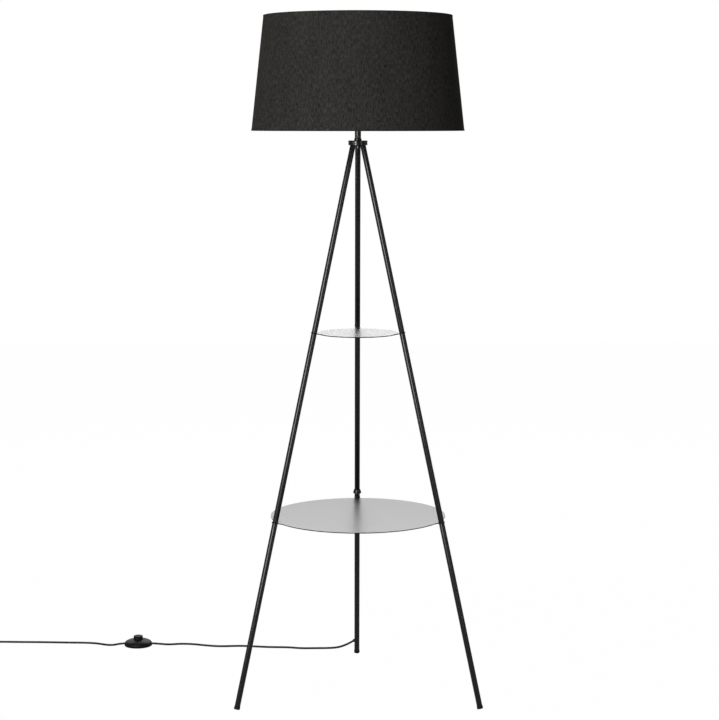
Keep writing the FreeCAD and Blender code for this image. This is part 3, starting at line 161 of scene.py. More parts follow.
buttonMoulded = grainedMaterial("buttonAbsTextured", dict(  # greyer, deeper grain
    dark="#0f0f10", light="#18181a", grainMm=0.25, driftMm=9, depthMm=0.02, bump=0.4,
    roughness=0.45, gloss=0.1))
bulbHousing = grainedMaterial("bulbHousingMoulded", dict(  # plain warm white
    dark="#dcdbd6", light="#e8e7e3", grainMm=0.3, driftMm=12, depthMm=0.015, bump=0.3,
    roughness=0.5))
opalDiffuser = grainedMaterial("opalDiffuserBlown", dict(  # smooth, softly glossy
    dark="#e9e6dd", light="#f2efe8", grainMm=0.6, driftMm=25, depthMm=0.01, bump=0.15,
    roughness=0.3))
coreSleeve = grainedMaterial("coreSleevePvc", dict(  # thin coloured sleeve
    dark="#4a2c1c", light="#5c3a26", grainMm=0.3, driftMm=10, depthMm=0.02, bump=0.3,
    roughness=0.5))
styreneLining = grainedMaterial("styreneLiningRolled", dict(  # pale, faintly shiny
    dark="#d9d6cf", light="#e6e4df", grainMm=0.8, driftMm=60, depthMm=0.02, bump=0.2,
    roughness=0.42))
wovenStrap = grainedMaterial("hookAndLoopStrap", dict(  # fuzzy, dull
    dark="#101010", light="#1c1c1c", grainMm=0.35, driftMm=5, depthMm=0.06, bump=0.6,
    roughness=0.65, gloss=0.25))


def metalMaterial(name, look):
    # Turned, drawn or stamped metal: fine lines left by the tool, in the given direction.
    look = Values(**look)
    material = bpy.data.materials.new(name)
    tree = emptyTree(material)
    stretch = addNode(tree, "ShaderNodeMapping", {
        "Vector": addNode(tree, "ShaderNodeTexCoord").outputs["Object"],
        "Scale": [1 / (size * mm) for size in look.lineMm]})
    lines = addNode(tree, "ShaderNodeTexNoise", {"Vector": stretch, "Scale": 1.0, "Detail": 3.0})
    addSurface(tree, look, lines, lines, bump=0.25, spread=(0.07, 0.1), Metallic=1.0)
    return material


zincSteel = metalMaterial("zincPlatedSteelTurned", dict(  # grey, ringed by the lathe
    dark="#9a9c9f", light="#b9bbbd", lineMm=(6, 6, 0.25), roughness=0.34, depthMm=0.02))
stampedBrass = metalMaterial("brassStamped", dict(  # warm, plain
    dark="#b08d47", light="#cfae66", lineMm=(4, 4, 0.3), roughness=0.3, depthMm=0.02))
brightNickel = metalMaterial("nickelPlatedBright", dict(  # pale, nearly mirror
    dark="#b4b1aa", light="#cbc8c1", lineMm=(3, 3, 0.4), roughness=0.18, depthMm=0.01))
springWire = metalMaterial("springSteelDrawn", dict(  # bright drawn wire
    dark="#8f9092", light="#acadaf", lineMm=(1.5, 1.5, 0.2), roughness=0.3, depthMm=0.01))


def clothMaterial(name, look):
    # Cotton-blend plain weave: matt threads, thicker here and there along the warp.
    # The real threads are about 0.5 mm apart, drawn coarser so that they show.
    look = Values(**look)
    material = bpy.data.materials.new(name)
    tree = emptyTree(material)
    flat = addNode(tree, "ShaderNodeUVMap", uv_map="clothMetres")
    period = look.threadMm * mm
    bands = math.pi / 10 / period  # the wave texture's scale for this period
    warp, weft = (addNode(tree, "ShaderNodeTexWave", {
        "Vector": flat, "Scale": bands, "Distortion": 0.0}, bands_direction=way)
        for way in "XY")
    over = addNode(tree, "ShaderNodeTexChecker", {"Vector": flat, "Scale": 1 / period})
    weave = addNode(tree, "ShaderNodeMix", {
        0: over.outputs["Fac"], 2: warp.outputs["Fac"], 3: weft.outputs["Fac"]})
    patterns = []
    for across, along, detail in ((look.slubWidthMm, look.slubMm, 1.5),
                                  (look.slubMm, look.slubWidthMm, 1.5),
                                  (look.driftWidthMm, look.driftMm, 3.0)):
        stretch = addNode(tree, "ShaderNodeMapping", {
            "Vector": flat, "Scale": (1 / across / mm, 1 / along / mm, 1)})
        patterns.append(addNode(tree, "ShaderNodeTexNoise", {
            "Vector": stretch, "Scale": 1.0, "Detail": detail}))
    warpSlub, weftSlub, drift = patterns
    slub = addNode(tree, "ShaderNodeMix", {0: look.weftShare, 2: warpSlub, 3: weftSlub})
    threads = addNode(tree, "ShaderNodeMix", {0: look.slubShare, 2: weave, 3: slub})
    tone = addNode(tree, "ShaderNodeMix", {0: look.driftShare, 2: threads, 3: drift})
    reach = addNode(tree, "ShaderNodeMapRange", {
        "Value": tone, "From Min": look.toneReach[0], "From Max": look.toneReach[1]})
    addSurface(tree, look, reach, threads, look.bump, Sheen_Weight=look.sheen,
               Sheen_Roughness=look.sheenRoughness, Specular_IOR_Level=look.gloss)
    return material


blackCotton = clothMaterial("blackCottonWoven", dict(  # matt black, faintly streaked
    dark="#191818", light="#403f3c", threadMm=1.15, slubMm=10, slubWidthMm=3.0,
    driftMm=110, driftWidthMm=35, weftShare=0.3, slubShare=0.7, driftShare=0.12,
    toneReach=(0.42, 0.58), depthMm=0.16, bump=0.4, roughness=0.86, gloss=0.0,
    sheen=0.03, sheenRoughness=0.4))
print("materials made")


# Making pieces. Profiles and outlines are in millimetres, meshes in metres.

def newObject(name, data):
    thing = bpy.data.objects.new(name, data)
    scene.collection.objects.link(thing)
    return thing


def meshFrom(work, name):
    mesh = bpy.data.meshes.new(name)
    work.to_mesh(mesh)
    work.free()
    return mesh


def dress(mesh, material, sharp=None):
    mesh.materials.clear()
    mesh.materials.append(material)
    if sharp:
        mesh.shade_smooth()
        mesh.set_sharp_from_angle(angle=math.radians(sharp))


def dressNode(material, *names):  # a CAD node that keeps its shape gets the finish
    for name in names:
        dress(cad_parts[name].data, material)


def settle(piece, body, standsFor=()):
    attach(piece, body)
    if standsFor:
        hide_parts(*standsFor)
    return piece


def shapeObject(name, work, material, sharp=40):
    bmesh.ops.remove_doubles(work, verts=work.verts, dist=1e-6)
    bmesh.ops.recalc_face_normals(work, faces=work.faces)
    piece = newObject(name, meshFrom(work, name))
    dress(piece.data, material, sharp)
    return piece


def makePiece(name, work, material, slotName, standsFor=(), body="lamp", sharp=40):
    return settle(shapeObject(name, work, material, sharp), body, standsFor)


def applyModifier(piece, modifier):
    graph = bpy.context.evaluated_depsgraph_get()
    mesh = bpy.data.meshes.new_from_object(piece.evaluated_get(graph))
    piece.modifiers.remove(modifier)
    piece.data = mesh


def shift(x, y, z):
    return Matrix.Translation(Vector((x, y, z)) * mm)


def towards(azimuth):  # a level direction, in degrees anticlockwise from X
    angle = math.radians(azimuth)
    return Vector((math.cos(angle), math.sin(angle), 0))


alongX = Matrix.Rotation(math.pi / 2, 4, "Y")  # lays what stands up Z along X
halfTurn = Matrix.Rotation(math.pi, 4, "Z")


def band(inner, outer, low, high):  # the profile of a tube, a ring or a rod
    return [(inner, low), (outer, low), (outer, high), (inner, high)]


def arc(x, y, radius, first, last, steps):  # both ends included, angles in degrees
    angles = [math.radians(first + (last - first) * k / steps) for k in range(steps + 1)]
    return [(x + radius * math.cos(a), y + radius * math.sin(a)) for a in angles]


def softCorner(before, corner, after, reach, steps):  # a short curve in a corner's place
    first = corner + (before - corner).normalized() * reach
    last = corner + (after - corner).normalized() * reach
    shares = [step / steps for step in range(steps + 1)]
    return [first * (1 - t) ** 2 + corner * 2 * t * (1 - t) + last * t * t for t in shares]


def rounded(profile, size, steps=3):  # softens the corners of a closed (radius, height) loop
    corners = [Vector(point) for point in profile]
    result = []
    for before, corner, after in zip(corners[-1:] + corners, corners,
                                     corners[1:] + corners[:1]):
        shortest = min((before - corner).length, (after - corner).length)
        if corner.x == 0 or shortest < 1e-4:
            result.append(corner)
        else:
            reach = min(size, 0.4 * shortest)
            result += softCorner(before, corner, after, reach, steps)
    return result


def skin(work, rings, closed=True, ends=False):  # faces from each ring to the next
    for ring, following in zip(rings, rings[1:]):
        for i in range(len(ring) - (not closed)):
            j = (i + 1) % len(ring)
            corners = dict.fromkeys((ring[i], ring[j], following[j], following[i]))
            if len(corners) > 2:
                work.faces.new(list(corners))
    for ring in (rings[0], rings[-1]) if ends else ():
        work.faces.new(ring)
    return work


def turn(work, profile, steps=96, matrix=None):  # a closed loop turned about the Z axis
    matrix = matrix or Matrix()
    rings = []
    for radius, height in profile:
        spots = [matrix @ (Vector((x, y, height)) * mm)
                 for x, y in arc(0, 0, radius, 0, 360, steps)[:-1]]
        if radius < 1e-6:
            rings.append([work.verts.new(spots[0])] * steps)
        else:
            rings.append([work.verts.new(spot) for spot in spots])
    return skin(work, rings + rings[:1])


def turnedPiece(name, profile, material, slotName, standsFor=(), soft=0.3, steps=96,
                matrix=None, **more):
    work = turn(bmesh.new(), rounded(profile, soft), steps, matrix)
    return makePiece(name, work, material, slotName, standsFor, **more)


def sweep(work, points, radius, steps=16):  # a round tube along points, ends closed
    way = (points[1] - points[0]).normalized()
    side = way.orthogonal().normalized()
    rings = []
    for i, point in enumerate(points):
        here = points[min(i + 1, len(points) - 1)] - points[max(i - 1, 0)]
        here.normalize()
        side = way.rotation_difference(here) @ side
        way = here
        up = way.cross(side)
        rings.append([work.verts.new((point + side * x + up * y) * mm)
                      for x, y in arc(0, 0, radius, 0, 360, steps)[:-1]])
    return skin(work, rings, ends=True)


def nodeHeights(name):  # lowest and highest
    low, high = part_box(name)
    return low.z / mm, high.z / mm


# Geometry Nodes make what repeats or winds.

def newGeometryTree(name, numbers, counts=()):
    tree = bpy.data.node_groups.new(name, "GeometryNodeTree")
    tree.interface.new_socket("Geometry", in_out="OUTPUT", socket_type="NodeSocketGeometry")
    for labels, kind in ((numbers, "NodeSocketFloat"), (counts, "NodeSocketInt")):
        for label in labels:
            tree.interface.new_socket(label, in_out="INPUT", socket_type=kind)
    return tree, addNode(tree, "NodeGroupInput").outputs


def endTree(tree, geometry):
    real = addNode(tree, "GeometryNodeRealizeInstances", {0: geometry})
    dressed = addNode(tree, "GeometryNodeSetMaterial", {0: real})
    addNode(tree, "NodeGroupOutput", {0: dressed})
    return tree


def treePiece(name, tree, values, material, standsFor=(), body="lamp", sharp=40,
              matrix=None):
    piece = newObject(name, bpy.data.meshes.new(name))
    modifier = piece.modifiers.new("maker", "NODES")
    modifier.node_group = tree
    for item in tree.interface.items_tree:
        if item.item_type == "SOCKET" and item.in_out == "INPUT":
            modifier[item.identifier] = values[item.name]
    applyModifier(piece, modifier)
    piece.data.transform(matrix or Matrix())
    dress(piece.data, material, sharp)
    return settle(piece, body, standsFor)


def makeRibTree():  # upright half-round ribs in a ring, as moulded grips have
    tree, size = newGeometryTree("gripRibs", ["Ring Radius", "Height", "Rib Radius"],
                                 ["Count"])
    ring = addNode(tree, "GeometryNodeCurvePrimitiveCircle", {
        "Resolution": size["Count"], "Radius": size["Ring Radius"]})
    spots = addNode(tree, "GeometryNodeCurveToPoints", {0: ring}, mode="EVALUATED")
    rib = addNode(tree, "GeometryNodeMeshCylinder", {
        "Vertices": 10, "Radius": size["Rib Radius"], "Depth": size["Height"]})
    copies = addNode(tree, "GeometryNodeInstanceOnPoints", {"Points": spots, "Instance": rib})
    return endTree(tree, copies)


def makeHelixTree():  # a round wire or thread crest wound at a steady pitch
    tree, size = newGeometryTree("woundWire", [
        "Turns", "Coil Radius", "Height", "Wire Radius"])
    spiral = addNode(tree, "GeometryNodeCurveSpiral", {
        "Resolution": 48, "Rotations": size["Turns"], "Start Radius": size["Coil Radius"],
        "End Radius": size["Coil Radius"], "Height": size["Height"]})
    section = addNode(tree, "GeometryNodeCurvePrimitiveCircle", {
        "Resolution": 12, "Radius": size["Wire Radius"]})
    wire = addNode(tree, "GeometryNodeCurveToMesh", {
        "Curve": spiral, "Profile Curve": section, "Fill Caps": True})
    return endTree(tree, wire)


def makeReliefTree():  # bending ribs of a moulded relief, smaller towards the cord
    tree, size = newGeometryTree("reliefRibs", [
        "Length", "Thick Radius", "Thin Share", "Rib Radius"], ["Count"])
    far = addNode(tree, "ShaderNodeCombineXYZ", {"X": size["Length"]})
    line = addNode(tree, "GeometryNodeMeshLine", {"Count": size["Count"], "Offset": far},
                   mode="END_POINTS")
    ring = addNode(tree, "GeometryNodeCurvePrimitiveCircle", {
        "Resolution": 40, "Radius": size["Thick Radius"]})
    section = addNode(tree, "GeometryNodeCurvePrimitiveCircle", {
        "Resolution": 10, "Radius": size["Rib Radius"]})
    rib = addNode(tree, "GeometryNodeCurveToMesh", {"Curve": ring, "Profile Curve": section})
    number = addNode(tree, "GeometryNodeInputIndex")
    last = addNode(tree, "ShaderNodeMath", {0: size["Count"], 1: 1.0}, operation="SUBTRACT")
    share = addNode(tree, "ShaderNodeMapRange", {
        "Value": number, "From Max": last, "To Min": 1.0, "To Max": size["Thin Share"]})
    copies = addNode(tree, "GeometryNodeInstanceOnPoints", {
        "Points": line, "Instance": rib, "Rotation": (0, math.pi / 2, 0), "Scale": share})
    return endTree(tree, copies)


ribTree, helixTree, reliefTree = makeRibTree(), makeHelixTree(), makeReliefTree()


# Camera, lights and stage.

view = dict(place=(-0.03638, -4.2850, 1.2697), pitchDown=6.933, heading=-0.533, lens=97.75,
            sensor=36.0)


def makeCamera(place, pitchDown, heading, lens, sensor):
    data = setAll(bpy.data.cameras.new("photoCamera"), sensor_fit="HORIZONTAL",
                  sensor_width=sensor, lens=lens, clip_end=60)
    camera = newObject("photoCamera", data)
    camera.location = place
    camera.rotation_euler = (math.radians(90 - pitchDown), 0, math.radians(heading))
    scene.camera = camera


studio = {  # degrees to the right of straight ahead, distance, height, size, power
    "key": (-27, 3.7, 1.6, (1.3, 2.0), 98),
    "leftStrip": (-58, 3.0, 1.1, (0.14, 2.0), 8),
    "rightStrip": (40, 3.2, 1.2, (0.12, 2.0), 8),
    "top": (-10, 0.8, 3.4, (1.8, 1.8), 8),
    "back": (178, 3.6, 2.5, (2.2, 0.9), 37),
    "backLeft": (-152, 3.6, 2.2, (1.4, 1.2), 13),
    "backRight": (152, 3.6, 2.2, (1.4, 1.2), 13),
}
lightsAim = Vector((0, 0, 0.9))


def makeLights(lights):
    for name, (bearing, distance, height, size, power) in lights.items():
        data = setAll(bpy.data.lights.new(name, "AREA"), shape="RECTANGLE", size=size[0],
                      size_y=size[1], energy=power)
        lamp = newObject(name, data)
        lamp.location = towards(bearing - 90) * distance + Vector((0, 0, height))
        lamp.rotation_euler = (lightsAim - lamp.location).to_track_quat("-Z", "Y").to_euler()


def rayKinds(tree):  # does the camera look straight at it, or a mirror or glass
    path = addNode(tree, "ShaderNodeLightPath").outputs
    mirrored = addNode(tree, "ShaderNodeMath", {
        0: path["Is Glossy Ray"], 1: path["Is Transmission Ray"]}, operation="MAXIMUM")
    return path["Is Camera Ray"], mirrored


room = dict(diffuse=0.05, sides=0.25, wall=0.75, wallEdges=(0.1, 0.6), wallTaper=-1.2)


def makeRoom(diffuse, sides, wall, wallEdges, wallTaper):
    # White to the camera, and to a mirror a white wall behind the object.
    world = bpy.data.worlds.new("paleRoom")
    scene.world = world
    tree = emptyTree(world)
    straight, mirrored = rayKinds(tree)
    way = addNode(tree, "ShaderNodeSeparateXYZ", {
        0: addNode(tree, "ShaderNodeTexCoord").outputs["Generated"]})
    aside = addNode(tree, "ShaderNodeMath", {0: way.outputs["X"]}, operation="ABSOLUTE")
    behind = addNode(tree, "ShaderNodeMath", {
        0: aside, 1: wallTaper, 2: way.outputs["Y"]}, operation="MULTIPLY_ADD")
    walls = addNode(tree, "ShaderNodeMapRange", {
        "Value": behind, "From Min": wallEdges[0], "From Max": wallEdges[1],
        "To Min": sides, "To Max": wall}, interpolation_type="SMOOTHSTEP")
    plain = addNode(tree, "ShaderNodeMix", {0: mirrored, 2: diffuse, 3: walls})
    strength = addNode(tree, "ShaderNodeMix", {0: straight, 2: plain, 3: 1.0})
    sky = addNode(tree, "ShaderNodeBackground", {"Color": (1, 1, 1, 1), "Strength": strength})
    addNode(tree, "ShaderNodeOutputWorld", {"Surface": sky})


ground = dict(size=14.0, sunk=0.0004, paint="#f4f4f4", whiteShare=0.99, mirrorLevel=0.35)


def makeFloor(size, sunk, paint, whiteShare, mirrorLevel):
    # Shows the object's shadow faintly on white.
    work = bmesh.new()
    bmesh.ops.create_grid(work, x_segments=1, y_segments=1, size=size / 2)
    floor = newObject("floor", meshFrom(work, "floor"))
    floor.location.z = -sunk
    material = bpy.data.materials.new("paleFloor")
    tree = emptyTree(material)
    straight, mirrored = rayKinds(tree)
    matt = addNode(tree, "ShaderNodeBsdfDiffuse", {"Color": toLinear(paint)})
    seen = addNode(tree, "ShaderNodeMath", {0: straight, 1: mirrored}, operation="MAXIMUM")
    level = addNode(tree, "ShaderNodeMix", {0: mirrored, 2: 1.0, 3: mirrorLevel})
    white = addNode(tree, "ShaderNodeEmission", {"Color": (1, 1, 1, 1), "Strength": level})
    share = addNode(tree, "ShaderNodeMath", {0: seen, 1: whiteShare}, operation="MULTIPLY")
    mix = addNode(tree, "ShaderNodeMixShader", {0: share, 1: matt, 2: white})
    addNode(tree, "ShaderNodeOutputMaterial", {"Surface": mix})
    floor.data.materials.append(material)


makeCamera(**view)
makeLights(studio)
makeRoom(**room)
makeFloor(**ground)
scene.view_settings.view_transform = "Standard"
print("camera, lights and stage made")


# The lead on the floor.

lead = dict(
    diameter=5.0, lengths=(0.536, 1.475),
    exitCentre=(0.0, 297.69, 36.6), exitWay=(-0.866025, 0.0, -0.5), bushReach=10.4,
    firstRun=9.4, switchCentre=(-533.9, 375.5, 5.8), switchInset=14.0,
    legToSwitch=[
        (-27.3, 301.2, 20.9), (-37.2, 308.8, 15.0), (-48.9, 320.8, 9.0),
        (-66.5, 334.5, 3.9), (-92.6, 339.2, 2.5),
        (-136.3, 337.7, 2.5), (-165.7, 348.0, 2.5), (-209.5, 349.3, 2.5),
        (-238.9, 354.2, 2.5), (-283.2, 362.8, 2.5), (-334.0, 356.9, 2.5),
        (-371.3, 367.3, 2.5), (-401.5, 379.6, 2.5), (-431.1, 382.6, 2.5),
        (-459.7, 374.5, 2.7), (-481.0, 376.0, 4.2), (-501.0, 375.5, 5.8)],
    switchToCoil=[
        (-567.0, 375.5, 5.8), (-580.5, 375.0, 4.7), (-593.0, 371.2, 3.0),
        (-607.5, 372.2, 2.5), (-622.0, 380.0, 2.5), (-641.0, 389.6, 2.5),
        (-669.0, 394.3, 2.5), (-715.0, 396.3, 2.5), (-765.0, 400.2, 2.5),
        (-820.0, 401.9, 2.5), (-872.0, 404.2, 2.6), (-909.0, 402.4, 3.5)],
)
coil = dict(centre=(-940.0, 438.15), meanRadius=27.5, pitch=5.5, turnsEachWay=3.0,
            climbTurns=0.5, lowHeight=3.5, layerRise=5.6, pointsPerTurn=16,
            swell=0.4, tailRun=30.0, tailHeight=6.85, tailBends=(0.3, 0.7))


def coilPoint(turns):  # clockwise from the coil's near side, in and then out a layer up
    c = Values(**coil)
    past = turns - c.turnsEachWay
    inner = c.meanRadius - c.turnsEachWay * c.pitch / 2
    radius = inner + c.pitch * abs(past)
    climb = min(max(past / c.climbTurns + 0.5, 0), 1)
    angle = math.radians(-90) - fullTurn * turns
    swell = 1 + c.swell * (math.pi / c.pointsPerTurn) ** 2  # the spline cuts inside
    return (c.centre[0] + radius * swell * math.cos(angle),
            c.centre[1] + radius * swell * math.sin(angle),
            c.lowHeight + c.layerRise * climb * climb * (3 - 2 * climb))


def coilRoute():  # ends with a straight run into the plug
    c = Values(**coil)
    total = 2 * c.turnsEachWay
    count = round(total * c.pointsPerTurn)
    points = [coilPoint(total * step / count) for step in range(1, count)]
    x, y, z = coilPoint(total)
    low, run, start = c.tailHeight, c.tailRun, lead["diameter"]
    early, late = c.tailBends
    return points + [
        (x, y, z), (x - start, y, z), (x - start - early * run, y, z),
        (x - start - late * run, y, low), (x - start - run, y, low),
        (x - 2 * start - run, y, low)]


def leadCurve(name, points, standsFor):
    data = setAll(bpy.data.curves.new(name, "CURVE"), dimensions="3D", resolution_u=10,
                  bevel_depth=lead["diameter"] / 2 * mm, bevel_resolution=6,
                  use_fill_caps=True)
    spline = data.splines.new("NURBS")
    spline.points.add(len(points) - 1)
    for spot, (x, y, z) in zip(spline.points, points):
        spot.co = (x * mm, y * mm, z * mm, 1)
    setAll(spline, order_u=3, use_endpoint_u=True)
    data.materials.append(cordSheath)
    return settle(newObject(name, data), "lamp", standsFor)


def switchEnd(side):
    x, y, z = lead["switchCentre"]
    return (x + side * lead["switchInset"], y, z)


exitCentre, exitWay = Vector(lead["exitCentre"]), Vector(lead["exitWay"])
bushNose = exitCentre + exitWay * lead["bushReach"]
firstPoints = [tuple(bushNose), tuple(bushNose + exitWay * lead["firstRun"])]
firstLead = leadCurve("leadLegToSwitch", firstPoints + lead["legToSwitch"] + [switchEnd(1)],
                      ["cord_leg_to_switch"])
secondLead = leadCurve("leadSwitchToPlug",
                       [switchEnd(-1)] + lead["switchToCoil"] + coilRoute(),
                       ["cord_switch_to_coil", "cord_coil"])
print("lead laid")


# Legs, joints and feet.

legs = dict(footCircle=306.5, hubCircle=12.7, hubUnderside=1220.8, tubeRadius=6.1,
            boreRadius=5.1, edge=0.25)
legAzimuths = dict(left=210.0, right=330.0, back=90.0)
lean = math.atan((legs["footCircle"] - legs["hubCircle"]) / legs["hubUnderside"])


def legMatrix(azimuth):  # local Z runs up the leg from its point on the floor
    way = towards(azimuth)
    return (shift(*way * legs["footCircle"])
            @ Matrix.Rotation(lean, 4, Vector((way.y, -way.x, 0))))


def alongLeg(node):  # where a square-cut tube starts and ends, up the leg
    low, high = nodeHeights(node)
    tilt = legs["tubeRadius"] * math.sin(lean)
    return (low + tilt) / math.cos(lean), (high - tilt) / math.cos(lean)


def makeLegs():
    for side, azimuth in legAzimuths.items():
        for part in ("bottom", "middle", "top"):
            node = f"leg_{side}_{part}"
            profile = band(legs["boreRadius"], legs["tubeRadius"], *alongLeg(node))
            turnedPiece(f"legTube_{side}_{part}", profile, satinPowderCoat, "leg_paint",
                        [node], soft=legs["edge"], steps=72, matrix=legMatrix(azimuth))


footCap = dict(radius=6.6, height=6.5, bore=6.2, floor=2.5, start=1.11, edge=0.8)


def makeFeet():
    c = Values(**footCap)
    start, floor, top = c.start, c.start + c.floor, c.start + c.height
    profile = [(0, start), (c.radius, start), (c.radius, top), (c.bore, top),
               (c.bore, floor), (0, floor)]
    for side, azimuth in legAzimuths.items():
        piece = turnedPiece(f"footCap_{side}", profile, footRubber, "foot_rubber",
                            [f"foot_cap_{side}"], soft=c.edge, steps=64,
                            matrix=legMatrix(azimuth))
        for vert in piece.data.vertices:  # the small flat where it stands
            vert.co.z = max(vert.co.z, 0.0)


collar = dict(above=5.4, bore=6.2, neck=7.1, widest=9.4, rim=1.2, band=1.7, length=10.5,
              edge=0.35)


def makeBackCollar():
    c = Values(**collar)
    start = alongLeg("leg_back_middle")[0] + c.above
    rim, end = start + c.rim, start + c.length
    profile = [(c.bore, start), (c.neck, start), (c.widest, rim),
               (c.widest, rim + c.band), (c.neck, end), (c.bore, end)]
    turnedPiece("backLegCollar", profile, hubEnamel, "hub_paint", ["back_leg_collar"],
                soft=c.edge, steps=72, matrix=legMatrix(legAzimuths["back"]))


makeLegs()
makeFeet()
makeBackCollar()
print("legs made")


# Shelves.

shelves = dict(
    lower=dict(radius=194.6, top=401.0, reach=16.6),
    upper=dict(radius=88.7, top=809.4, reach=24.0),
    thickness=2.0, edge=0.2, border=0.4, borderedOver=200.0, earHalf=7.0, bendHalf=7.07,
    bendNear=0.02, rootInset=1.2, overhang=1.8)


def shelfOutline(radius, bend, tip):  # anticlockwise, with an ear on each leg
    half = shelves["earHalf"]
    rimHalf = math.degrees(math.asin(half / radius))
    points, ears = [], []
    for azimuth in sorted(legAzimuths.values()):
        ahead = towards(azimuth).xy
        side = Vector((-ahead.y, ahead.x))
        first = len(points)
        points.append(ahead * bend - side * half)
        points += [ahead * (tip + x) + side * y for x, y in arc(0, 0, half, -90, 90, 24)]
        points.append(ahead * bend + side * half)
        ears.append((first, len(points) - 1))
        points += arc(0, 0, radius, azimuth + rimHalf, azimuth + 120 - rimHalf, 72)
    return points, ears


def makeShelf(name):
    s, own = Values(**shelves), Values(**shelves[name])
    low, bend = own.top - s.thickness, own.radius - s.rootInset
    tip = bend + own.reach + legs["tubeRadius"] + s.overhang - s.earHalf
    points, ears = shelfOutline(own.radius, bend, tip)
    work = bmesh.new()
    verts = [work.verts.new(Vector((x, y, low)) * mm) for x, y in points]
    plain = [vert for index, vert in enumerate(verts)
             if not any(first < index < last for first, last in ears)]
    faces = [work.faces.new(plain)]
    faces += [work.faces.new(verts[first:last + 1]) for first, last in ears]
    grown = bmesh.ops.extrude_face_region(work, geom=faces)
    raised = [item for item in grown["geom"] if isinstance(item, bmesh.types.BMVert)]
    bmesh.ops.translate(work, verts=raised, vec=(0, 0, s.thickness * mm))
    work.normal_update()
    rims = [edge for edge in work.edges if len(edge.link_faces) == 2
            and abs(edge.calc_face_angle(0)) > math.radians(60)
            and abs(edge.verts[0].co.z - edge.verts[1].co.z) < 1e-6]
    bmesh.ops.bevel(work, geom=rims, offset=s.edge * mm, segments=3, profile=0.6,
                    affect="EDGES")
    # A narrow border round each large flat keeps its shading flat.
    flats = [face for face in work.faces if abs(face.normal.z) > 0.99
             and face.calc_area() > s.borderedOver * mm * mm]
    bmesh.ops.inset_individual(work, faces=flats, thickness=s.border * mm)
    bendEars(work, bend, low)
    piece = makePiece(f"shelf_{name}", work, satinShelfLacquer, "shelf_paint",
                      [f"shelf_{name}"], sharp=32)
    # The upright rim faces take the darker lacquer, which is painted shade along the shelf's
    # edge.
    piece.data.materials.append(shelfRimLacquerPaintedShade)
    for face in piece.data.polygons:
        if abs(face.normal.z) < 0.5:
            face.material_index = 1


def bendEars(work, bend, low):  # turns what lies past each bend line square to its leg
    half, near = shelves["bendHalf"] * mm, shelves["bendNear"] * mm
    root = bend * mm
    for vert in work.verts:
        for azimuth in legAzimuths.values():
            ahead = towards(azimuth)
            past = vert.co.dot(ahead) - root
            if past < -near or abs(vert.co.y * ahead.x - vert.co.x * ahead.y) > half:
                continue
            rise = vert.co.z - low * mm
            if past < near:  # on the bend line, where both sheets are mitred
                newPast, newRise = -rise * math.tan(lean / 2), rise
            else:
                newPast = past * math.cos(lean) - rise * math.sin(lean)
                newRise = past * math.sin(lean) + rise * math.cos(lean)
            vert.co += ahead * (newPast - past)
            vert.co.z = low * mm + newRise
            break


makeShelf("lower")
makeShelf("upper")
print("shelves made")


# Hub and stem.

hub = dict(radius=21.0, height=10.2, flange=3.9, seam=0.25, edge=0.8, wall=1.4, roof=1.8,
           ledge=1.4, plate=4.6, pipeHole=5.1, capRadius=5.4, capHeight=9.0, capEdge=2.2,
           capSoft=0.15, shank=3.7, shankHeight=3.6)
stem = dict(ringRadius=8.2, ringHeight=4.5, ringSoft=0.6, stemRadius=6.9, stemBore=5.6,
            stemSoft=0.2)


def makeHub():
    h = Values(**hub, **stem)
    base, pipe, outer = nodeHeights("hub_plate")[0], h.pipeHole, h.radius
    seam, plate, top = base + h.flange, base + h.plate, base + h.height
    inner, roof = outer - h.wall, top - h.roof
    ledge = inner - h.ledge
    cover = [(inner, seam), (outer - h.seam, seam), (outer, seam + h.seam),
             (outer, top), (pipe, top), (pipe, roof), (ledge, roof), (ledge, plate),
             (inner, plate)]
    flat, low, high = h.capRadius - h.capEdge, base - h.capHeight, base + h.shankHeight
    cap = [(0, low), (flat, low), *arc(flat, low + h.capEdge, h.capEdge, -90, 0, 8),
           (h.capRadius, base), (h.shank, base), (h.shank, high), (0, high)]
    ring = band(pipe, h.ringRadius, top, top + h.ringHeight)
    tube = band(h.stemBore, h.stemRadius, *nodeHeights("stem_tube"))
    for name, node, profile, soft, steps in (
            ("hubCover", "hub_cover", cover, h.edge, 128),
            ("hubEndCap", "hub_end_cap", cap, h.capSoft, 72),
            ("stemLockRing", "stem_lock_ring", ring, h.ringSoft, 72),
            ("stemTube", "stem_tube", tube, h.stemSoft, 72)):
        turnedPiece(name, profile, hubEnamel, "hub_paint", [node], soft, steps)
    dressNode(hubEnamel, "hub_plate")
    dressNode(zincSteel, "stem_pipe", "hub_studs", "joint_studs_lower", "joint_studs_upper",
              "joint_sockets_lower", "joint_sockets_upper")
    dressNode(cordSheath, "lead_in_leg", "lead_bush")
    dressNode(coreSleeve, "lead_cores")


makeHub()
print("hub made")


# Shade.

shade = dict(
    bottomRadius=232.0, topRadius=204.6, wall=1.1, cloth=0.5, hem=3.0, proud=0.4, step=0.3,
    edge=0.3, lip=4.6, lipThickness=0.8, gap=0.05, steps=256, rows=24,
    lapWidth=12.0, lapProud=0.35, lapEdge=0.02, lapShort=0.4, lapThickness=0.3,
    lapAzimuth=90.0, flatCut=(1.43, 0.36), flatArea=0.342)
shadeBase, shadeTop = nodeHeights("shade_panel")


def shadeRadius(height):  # of the cloth's outside
    taper = (shade["bottomRadius"] - shade["topRadius"]) / (shadeTop - shadeBase)
    return shade["bottomRadius"] - taper * (height - shadeBase)


def wireRing(node):  # its radius, its height and its wire's radius
    low, high = nodeHeights(node)
    wire = (high - low) / 2
    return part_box(node)[1].x / mm - wire, low + wire, wire


